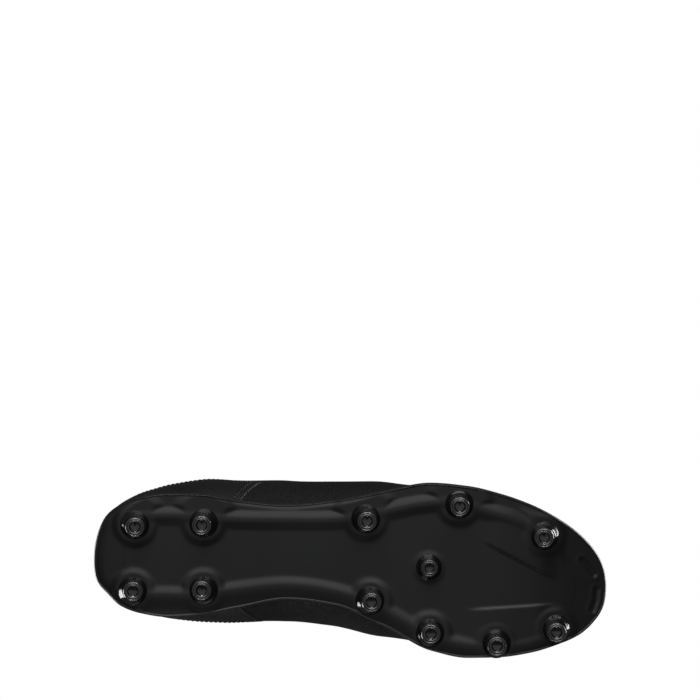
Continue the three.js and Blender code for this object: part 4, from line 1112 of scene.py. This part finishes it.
# %% [markdown]
# ## Collar and lining
# Foam under the lining makes the collar a soft roll round the ankle. The lining cloth starts at the
# outside of the top edge, rolls over the foam, and runs down inside to the insole. It is one grid
# whose rows follow the roll and then the inner wall.

# %% Collar roll and quarter lining
COLLAR_FOAM, LINING, LINING_DEPTH, COLLAR_CLOTH = 4.6, 0.8, 2.8, 0.7
COLLAR_END, LINING_END = 0.372, 0.578      # stations where the padded roll and the lining stop


def padding(u, t):
    """Thickness of the foam under the lining: only round the ankle, swelling towards the top."""
    along = 1 - step(0.3, 0.37, u)
    up = step(0.5, 0.8, t) * (1 - 0.55 * step(0.88, 1, t))
    return COLLAR_FOAM * along * up


def make_collar():
    """The rolled top: from outside the quarter's edge, over, and down to meet the lining."""
    stations = np.linspace(-COLLAR_END, COLLAR_END, 260)
    u = np.abs(stations)
    taper = 1 - step(COLLAR_END - 0.03, COLLAR_END, u)
    arc = np.radians(np.linspace(-28, 205, 26))
    top = upper_point(stations, np.ones_like(u))
    out = upper_normal(stations, np.full(u.shape, 0.97))
    up = unit(upper_point(stations, 0.99) - upper_point(stations, 0.95))
    half = 1.7 + 2.1 * taper                 # radius of the roll, smaller at its two ends
    centre = top - out * (0.3 + half)[:, None] - up * 2.2
    round_out = np.cos(arc)[None, :, None] * out[:, None] * half[:, None, None]
    round_up = np.sin(arc)[None, :, None] * up[:, None] * (half * 0.95)[:, None, None]
    roll = centre[:, None] + (round_out + round_up)
    inner_t = np.linspace(0.9, 0.5, 26)[None, :]
    swell = 0.55 * np.sin(np.pi * (inner_t - 0.5) / 0.4) * taper[:, None]
    depth = LINING_DEPTH + padding(u[:, None], inner_t) + swell
    face = np.concatenate([roll, skin(stations[:, None], inner_t, -depth)], 1)
    back = np.concatenate([roll + unit(centre[:, None] - roll) * COLLAR_CLOTH,
                           skin(stations[:, None], inner_t, -(depth - COLLAR_CLOTH))], 1)
    return closed_shell("collar_padding_roll", face, back, sharp_degrees=70)


def make_lining():
    """The cloth below the roll, which reaches up to the top line ahead of the collar."""
    stations = np.linspace(-LINING_END, LINING_END, 300)[:, None]
    stations, b = np.broadcast_arrays(stations, np.linspace(0.0, 1.0, 60)[None, :])
    u = np.abs(stations)
    t = b * np.where(u > COLLAR_END, 0.99, 0.873)
    depth = LINING_DEPTH + padding(u, t) + LINING
    face = skin(stations, t, -depth)
    back = skin(stations, t, -(depth - LINING * 0.6))
    return closed_shell("quarter_lining_cloth", face, back, sharp_degrees=70)


collar = place(make_collar(), "boot", "lining_textile", ["collar_foam"], LINING_KNIT)
lining = place(make_lining(), "boot", "lining_textile", ["lining_rear"], LINING_KNIT)
print("collar:", len(collar.data.polygons), "faces; lining:", len(lining.data.polygons), "faces")

# %% [markdown]
# ## Tongue
# The tongue is a padded strip under the lace rows, sewn to the throat at its front end and free at
# the top. Its sections follow the underside of the facings, and its thickness swells in the middle.

# %% Tongue
TONGUE_DEPTH, TONGUE_DROP, TONGUE_CROWN = 4.9, 3.0, 2.2
TONGUE_U = (0.575, 0.56, 0.54, 0.51, 0.48, 0.45, 0.42, 0.39, 0.365)
TONGUE_TOP_STEP, TONGUE_TOP_WIDTHS = (-6.4, 0.2, 5.6), (1.06, 1.14, 1.12, 0.92)
TONGUE_LENGTH, TONGUE_WIDTH, TONGUE_SHELL = 130, 46, 1.25


def spline_through(points, samples):
    """A Catmull-Rom curve through points along the first axis."""
    p = np.concatenate([2 * points[:1] - points[1:2], points, 2 * points[-1:] - points[-2:-1]])
    x = np.clip(samples, 0, 1) * (len(points) - 1)
    i = np.minimum(x.astype(int), len(points) - 2)
    s = (x - i).reshape((-1,) + (1,) * (points.ndim - 1))
    a, b, c, d = (p[i + k] for k in range(4))
    return 0.5 * (2 * b + (c - a) * s + (2 * a - 5 * b + 4 * c - d) * s * s
                  + (3 * b - a - 3 * c + d) * s ** 3)


def tongue_rows():
    """Control sections of five points each, from the hidden root under the vamp to the free top."""
    rows = []
    for u in TONGUE_U:
        near_top = 1 - step(0.38, 0.48, u)
        tuck, depth = 0.83 + 0.14 * near_top, TONGUE_DEPTH + TONGUE_DROP * near_top
        hidden = [skin(s * u, tuck, np.array(-depth - 0.4)) for s in (-1, 1)]
        edge = [skin(s * u, 1.0, np.array(-depth)) for s in (-1, 1)]
        middle = (edge[0] + edge[1]) / 2 + np.array([0, 0, TONGUE_CROWN])
        rows.append([hidden[0], edge[0], middle, edge[1], hidden[1]])
    first, second = np.array(rows[0]), np.array(rows[1])
    root = first + (first - second) * 1.3 + np.array([0, 0, -1.0])
    root[:, 1] = first[2, 1] + (root[:, 1] - first[2, 1]) * 0.8
    rows.insert(0, root.tolist())
    last = np.array(rows[-1])
    for k, width in enumerate(TONGUE_TOP_WIDTHS, 1):
        row = (last - last[2]) * np.array([1, width, width]) + last[2] + np.array(TONGUE_TOP_STEP) * k
        rows.append(row.tolist())
    return np.array([np.array(row) for row in rows])


def make_tongue():
    a = crowded(150, TONGUE_LENGTH, 2.5)
    b = crowded(70, 44, 2.5)
    base = np.stack([spline_through(section, b) for section in spline_through(tongue_rows(), a)])
    normal = unit(np.cross(np.gradient(base, axis=0), np.gradient(base, axis=1)))
    normal *= np.sign(normal[..., 2:3])
    edge = np.minimum(np.minimum(a, 1 - a)[:, None] * TONGUE_LENGTH,
                      np.minimum(b, 1 - b)[None, :] * TONGUE_WIDTH)
    rim = rounded(edge, 2.4)
    across = np.abs(b - 0.5)[None, :] * 2
    # a stitched valley near each side, a crown between them, and a puffed end
    quilt = 0.55 * np.exp(-((across - 0.62) / 0.05) ** 2) * step(0.12, 0.2, a)[:, None]
    crown = 0.8 * (1 - across ** 2) * step(0.0, 0.3, a)[:, None]
    puff = 1.0 * step(0.86, 0.93, a)[:, None] * rim
    face = base + normal * ((crown + puff) * rim - quilt - 1.2 * (1 - rim))[..., None]
    seat = base - normal * 1.3
    skin_piece = closed_shell("tongue_skin", face, seat + normal * 0.1 * rim[..., None],
                              sharp_degrees=60)
    swell = np.sin(np.pi * np.clip(b, 0, 1))[None, :] ** 0.5 * np.minimum(1, 0.3 + a / 0.25)[:, None]
    depth = TONGUE_SHELL + (0.5 + 3.4 * swell) * rim
    pad_piece = closed_shell("tongue_lining_pad", base - normal * TONGUE_SHELL,
                             base - normal * depth[..., None], sharp_degrees=60)
    return skin_piece, pad_piece, base, normal, b


tongue, tongue_pad, TONGUE_BASE, TONGUE_NORMAL, TONGUE_B = make_tongue()
place(tongue, "tongue", "upper_synthetic", ["tongue_outer"], PU_SMOOTH)
place(tongue_pad, "tongue", "lining_textile", ["tongue_padding"], LINING_KNIT)
print("tongue:", len(tongue.data.polygons), "faces")

# %% [markdown]
# ## Lace
# The lace is a flat woven band. The lowest run is straight. From there each end comes up from under
# its own row, crosses the tongue, lies over the other row's edge and dives into the next eyelet. The
# ends go in at the top pair and are tucked away under the facings, so no lace hangs free. Each run
# is a swept rounded strip whose flat side faces out along the surface, with a UV map in millimetres
# for the weave.

# %% Lace runs
LACE_WIDTH, LACE_THICKNESS, LACE_PLAY = 6.4, 1.25, 0.05


def strip(points, ups, width, thickness, samples=40, corner=10):
    """Rounded flat band through points; returns vertices, faces and uv in mm."""
    share = np.linspace(0, 1, samples)
    centre = spline_through(np.array(points, float), share)
    up = spline_through(np.array(ups, float), share)
    tangent = unit(np.gradient(centre, axis=0))
    across = unit(np.cross(tangent, up))
    rise = np.cross(across, tangent)
    angle = np.linspace(0, math.tau, corner * 2, endpoint=False)
    x = np.sign(np.cos(angle)) * np.abs(np.cos(angle)) ** 0.45 * width / 2
    z = np.sign(np.sin(angle)) * np.abs(np.sin(angle)) ** 0.8 * thickness / 2
    verts = centre[:, None] + across[:, None] * x[None, :, None] + rise[:, None] * z[None, :, None]
    length = np.concatenate([[0], np.cumsum(np.linalg.norm(np.diff(centre, axis=0), axis=1))])
    uv = np.stack(np.broadcast_arrays(length[:, None], x[None, :]), -1)
    faces = grid_faces(samples, corner * 2, wrap=True)
    last = (samples - 1) * corner * 2
    faces += [list(reversed(range(corner * 2))), [last + k for k in range(corner * 2)]]
    return verts.reshape(-1, 3), faces, uv.reshape(-1, 2)


def join_strips(name, strips):
    verts, faces, uv, first = [], [], [], 0
    for part_verts, part_faces, part_uv in strips:
        verts.append(part_verts)
        uv.append(part_uv)
        faces += [[first + k for k in face] for face in part_faces]
        first += len(part_verts)
    return finish_mesh(name, np.concatenate(verts), faces, 60, np.concatenate(uv))


def lace_run(from_side, from_row, to_side, to_row, raise_middle, straight=False):
    """One crossing: up through an eyelet or from under the facing, over, and down into the next."""
    a, b = from_side * eyelet_station(from_row), to_side * eyelet_station(to_row)
    lift = OVERLAY + LACE_THICKNESS / 2 + LACE_PLAY
    up_a, up_b = upper_normal(a, 0.95), upper_normal(b, 0.95)
    if straight:
        start = [skin(a, EYELET_T - 0.004, np.array(-1.6)), skin(a, EYELET_T + 0.012, np.array(lift)),
                 skin(a, 0.975, np.array(lift + 0.25))]
    else:
        start = [skin(a, 0.935, np.array(-2.1)), skin(a, 0.985, np.array(-1.9))]
    end = [skin(b, 0.985, np.array(lift + 0.3)), skin(b, 0.94, np.array(lift + 0.1)),
           skin(b, EYELET_T + 0.012, np.array(lift)), skin(b, EYELET_T - 0.004, np.array(-1.6))]
    middle = (start[-1] + end[0]) / 2 + np.array([0, 0, raise_middle])
    ups = [up_a] * len(start) + [unit(up_a + up_b)] + [up_b] * len(end)
    return strip(start + [middle] + end, ups, LACE_WIDTH, LACE_THICKNESS, samples=48)


def make_lace():
    runs = [lace_run(-1, EYELET_ROWS - 1, 1, EYELET_ROWS - 1, 1.2, straight=True)]
    for row in range(EYELET_ROWS - 1):
        runs.append(lace_run(-1, row + 1, 1, row, 2.2))
        runs.append(lace_run(1, row + 1, -1, row, 3.6))
    return join_strips("lace_band", runs)


lace = place(make_lace(), "boot", "lace_textile", ["lace"], LACE_WEAVE)
print("lace runs:", 2 * EYELET_ROWS - 1)

# %% [markdown]
# ## Pull tab
# A loop of webbing at the back of the collar helps to pull the cleat on. It is folded over the
# collar and its two legs are sewn outside on the backstay and inside on the lining.

# %% Pull tab
TAB_WIDTH, TAB_THICKNESS, TAB_RISE = 13.0, 1.3, 11.0


def make_tab():
    """The loop's path runs up outside the backstay, over, and down inside the collar."""
    stand = GAP + TAB_THICKNESS / 2 + 0.15
    outer_leg = [skin(0.0, t, np.array(stand + OVERLAY)) for t in (0.78, 0.88, 0.97)]
    inner_leg = [skin(0.0, t, np.array(-(LINING_DEPTH + padding(0.0, t) + LINING + stand + 1.9)))
                 for t in (1.0, 0.93, 0.86)]
    crown = upper_point(0.0, 1.0) + np.array([3.2, 0, TAB_RISE])
    shoulders = [crown + np.array([forward, 0, -3.2]) for forward in (-4.4, 4.4)]
    path = np.array(outer_leg + [shoulders[0], crown, shoulders[1]] + inner_leg)
    centre = path.mean(0)
    ups = [unit(np.array([p[0] - centre[0], 0.0, p[2] - centre[2]])) for p in path]
    band = strip(path, ups, TAB_WIDTH, TAB_THICKNESS, samples=90, corner=14)
    return join_strips("pull_tab_loop", [band])


tab = place(make_tab(), "boot", "tab_webbing", ["pull_tab"], WEBBING)
print("pull tab:", len(tab.data.polygons), "faces")

# %% [markdown]
# ## Insole
# The lift-out insole is a foam sheet faced with cloth. Its edge turns up a little all round, more at
# the heel, where it forms a shallow cup.

# %% Insole
BOARD, SOCK_FOAM, SOCK_CLOTH, SOCK_INSET = 1.7, 3.0, 0.7, 5.0
SOCK_ROWS, SOCK_ACROSS = 200, 70


def make_sock():
    u = np.linspace(0, 1, SOCK_ROWS)
    left, _ = outline_at(-u, foot_inset(-u) + SOCK_INSET)
    right, _ = outline_at(u, foot_inset(u) + SOCK_INSET)
    plan = between(left, right, cosine_shares(SOCK_ACROSS))
    loop = np.concatenate([left, right[::-1]])
    to_edge = distance_to_line(plan.reshape(-1, 2), loop[::4]).reshape(SOCK_ROWS, SOCK_ACROSS)
    x = plan[..., 0]
    base = underside(x) + PLATE_THICKNESS + GAP + BOARD + GAP + SOCK_FOAM + GAP
    cup = (1.3 + 1.6 * (1 - step(-120, -40, x))) * (1 - step(0.5, 11, to_edge))
    edge = rounded(to_edge, 0.9)
    top = np.concatenate([plan, (base + SOCK_CLOTH * edge + cup)[..., None]], -1)
    low = np.concatenate([plan, (base - 0.25)[..., None]], -1)
    return closed_shell("insole_cloth", top, low, sharp_degrees=60)


sock = place(make_sock(), "sockliner", "sock_textile", ["sockliner_cover"], SOCK_KNIT)
print("insole cloth:", len(sock.data.polygons), "faces")

# %% [markdown]
# ## Seams
# Two rows of stitches hold the vamp to the quarters, and three quilting rows cross it. One row
# follows the edge of each overlay, a stitch's width inside it, and one each side of the tongue.

# %% Stitch lines
def vamp_lines():
    """Two rows behind the vamp's edge on each side, and its quilting rows."""
    t = np.linspace(0.07, 0.985, 120)
    lines = []
    for side in (-1, 1):
        for inward in (0.0065, 0.0125):
            lines.append(seam(side * (vamp_seam(t) + inward), t, 0.1))
        quilted = np.linspace(0.4, 0.96, 110)
        for row in QUILT_ROWS:
            lines.append(seam(side * quilt_station(row, quilted), quilted, -0.12))
    return lines


def overlay_lines():
    """Rows along the heel overlay's top and front, both borders of the facings, and the backstay."""
    share = np.linspace(-1, 1, 400)
    top_station = share * (heel_front(heel_top(share)) - 0.009)
    lines = [seam(top_station, heel_top(share) - 0.034, OVERLAY + HEEL_LIFT)]
    front_t = np.linspace(0.08, float(heel_top(1.0)) - 0.036, 60)
    facing_u = np.linspace(FACING_START + 0.008, FACING_END - 0.008, 160)
    backstay_t = np.linspace(0.53, 0.93, 50)
    for side in (-1, 1):
        lines.append(seam(side * (heel_front(front_t) - 0.0105), front_t, OVERLAY + HEEL_LIFT))
        lines.append(seam(side * facing_u, facing_low(facing_u) + 0.032, OVERLAY))
        lines.append(seam(side * facing_u, 0.975, OVERLAY))
        lines.append(seam(side * (0.046 - 0.016 * (backstay_t - 0.5) / 0.46), backstay_t,
                          OVERLAY + BACKSTAY_LIFT))
    return lines


sew("stitches_vamp", vamp_lines())
sew("stitches_overlays", overlay_lines(), pitch=2.6)


def tongue_stitches():
    lines = []
    for column in (0.12, 0.88):
        j = int(np.argmin(np.abs(TONGUE_B - column)))
        keep = slice(12, -12)
        points = TONGUE_BASE[keep, j] + TONGUE_NORMAL[keep, j] * 0.35
        lines.append((points, TONGUE_NORMAL[keep, j]))
    return lines


sew("stitches_tongue", tongue_stitches(), body="tongue")

# %% [markdown]
# ## Inner pieces that stay as the CAD gives them
# The heel counter, toe puff, insole board, foam and vamp lining are hidden or nearly so. Their CAD
# shapes are right, so they only get their own finishes.

# %% Finishes for the CAD pieces
INNER_FINISH = {"heel_counter": STIFFENER, "toe_puff": STIFFENER, "insole_board": FIBRE_BOARD,
                "sockliner_foam": FOAM, "lining_vamp": LINING_KNIT}
for node_name, material in INNER_FINISH.items():
    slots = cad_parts[node_name].data.materials
    slots.clear()
    slots.append(material)
print("CAD pieces with a finish:", sorted(INNER_FINISH))
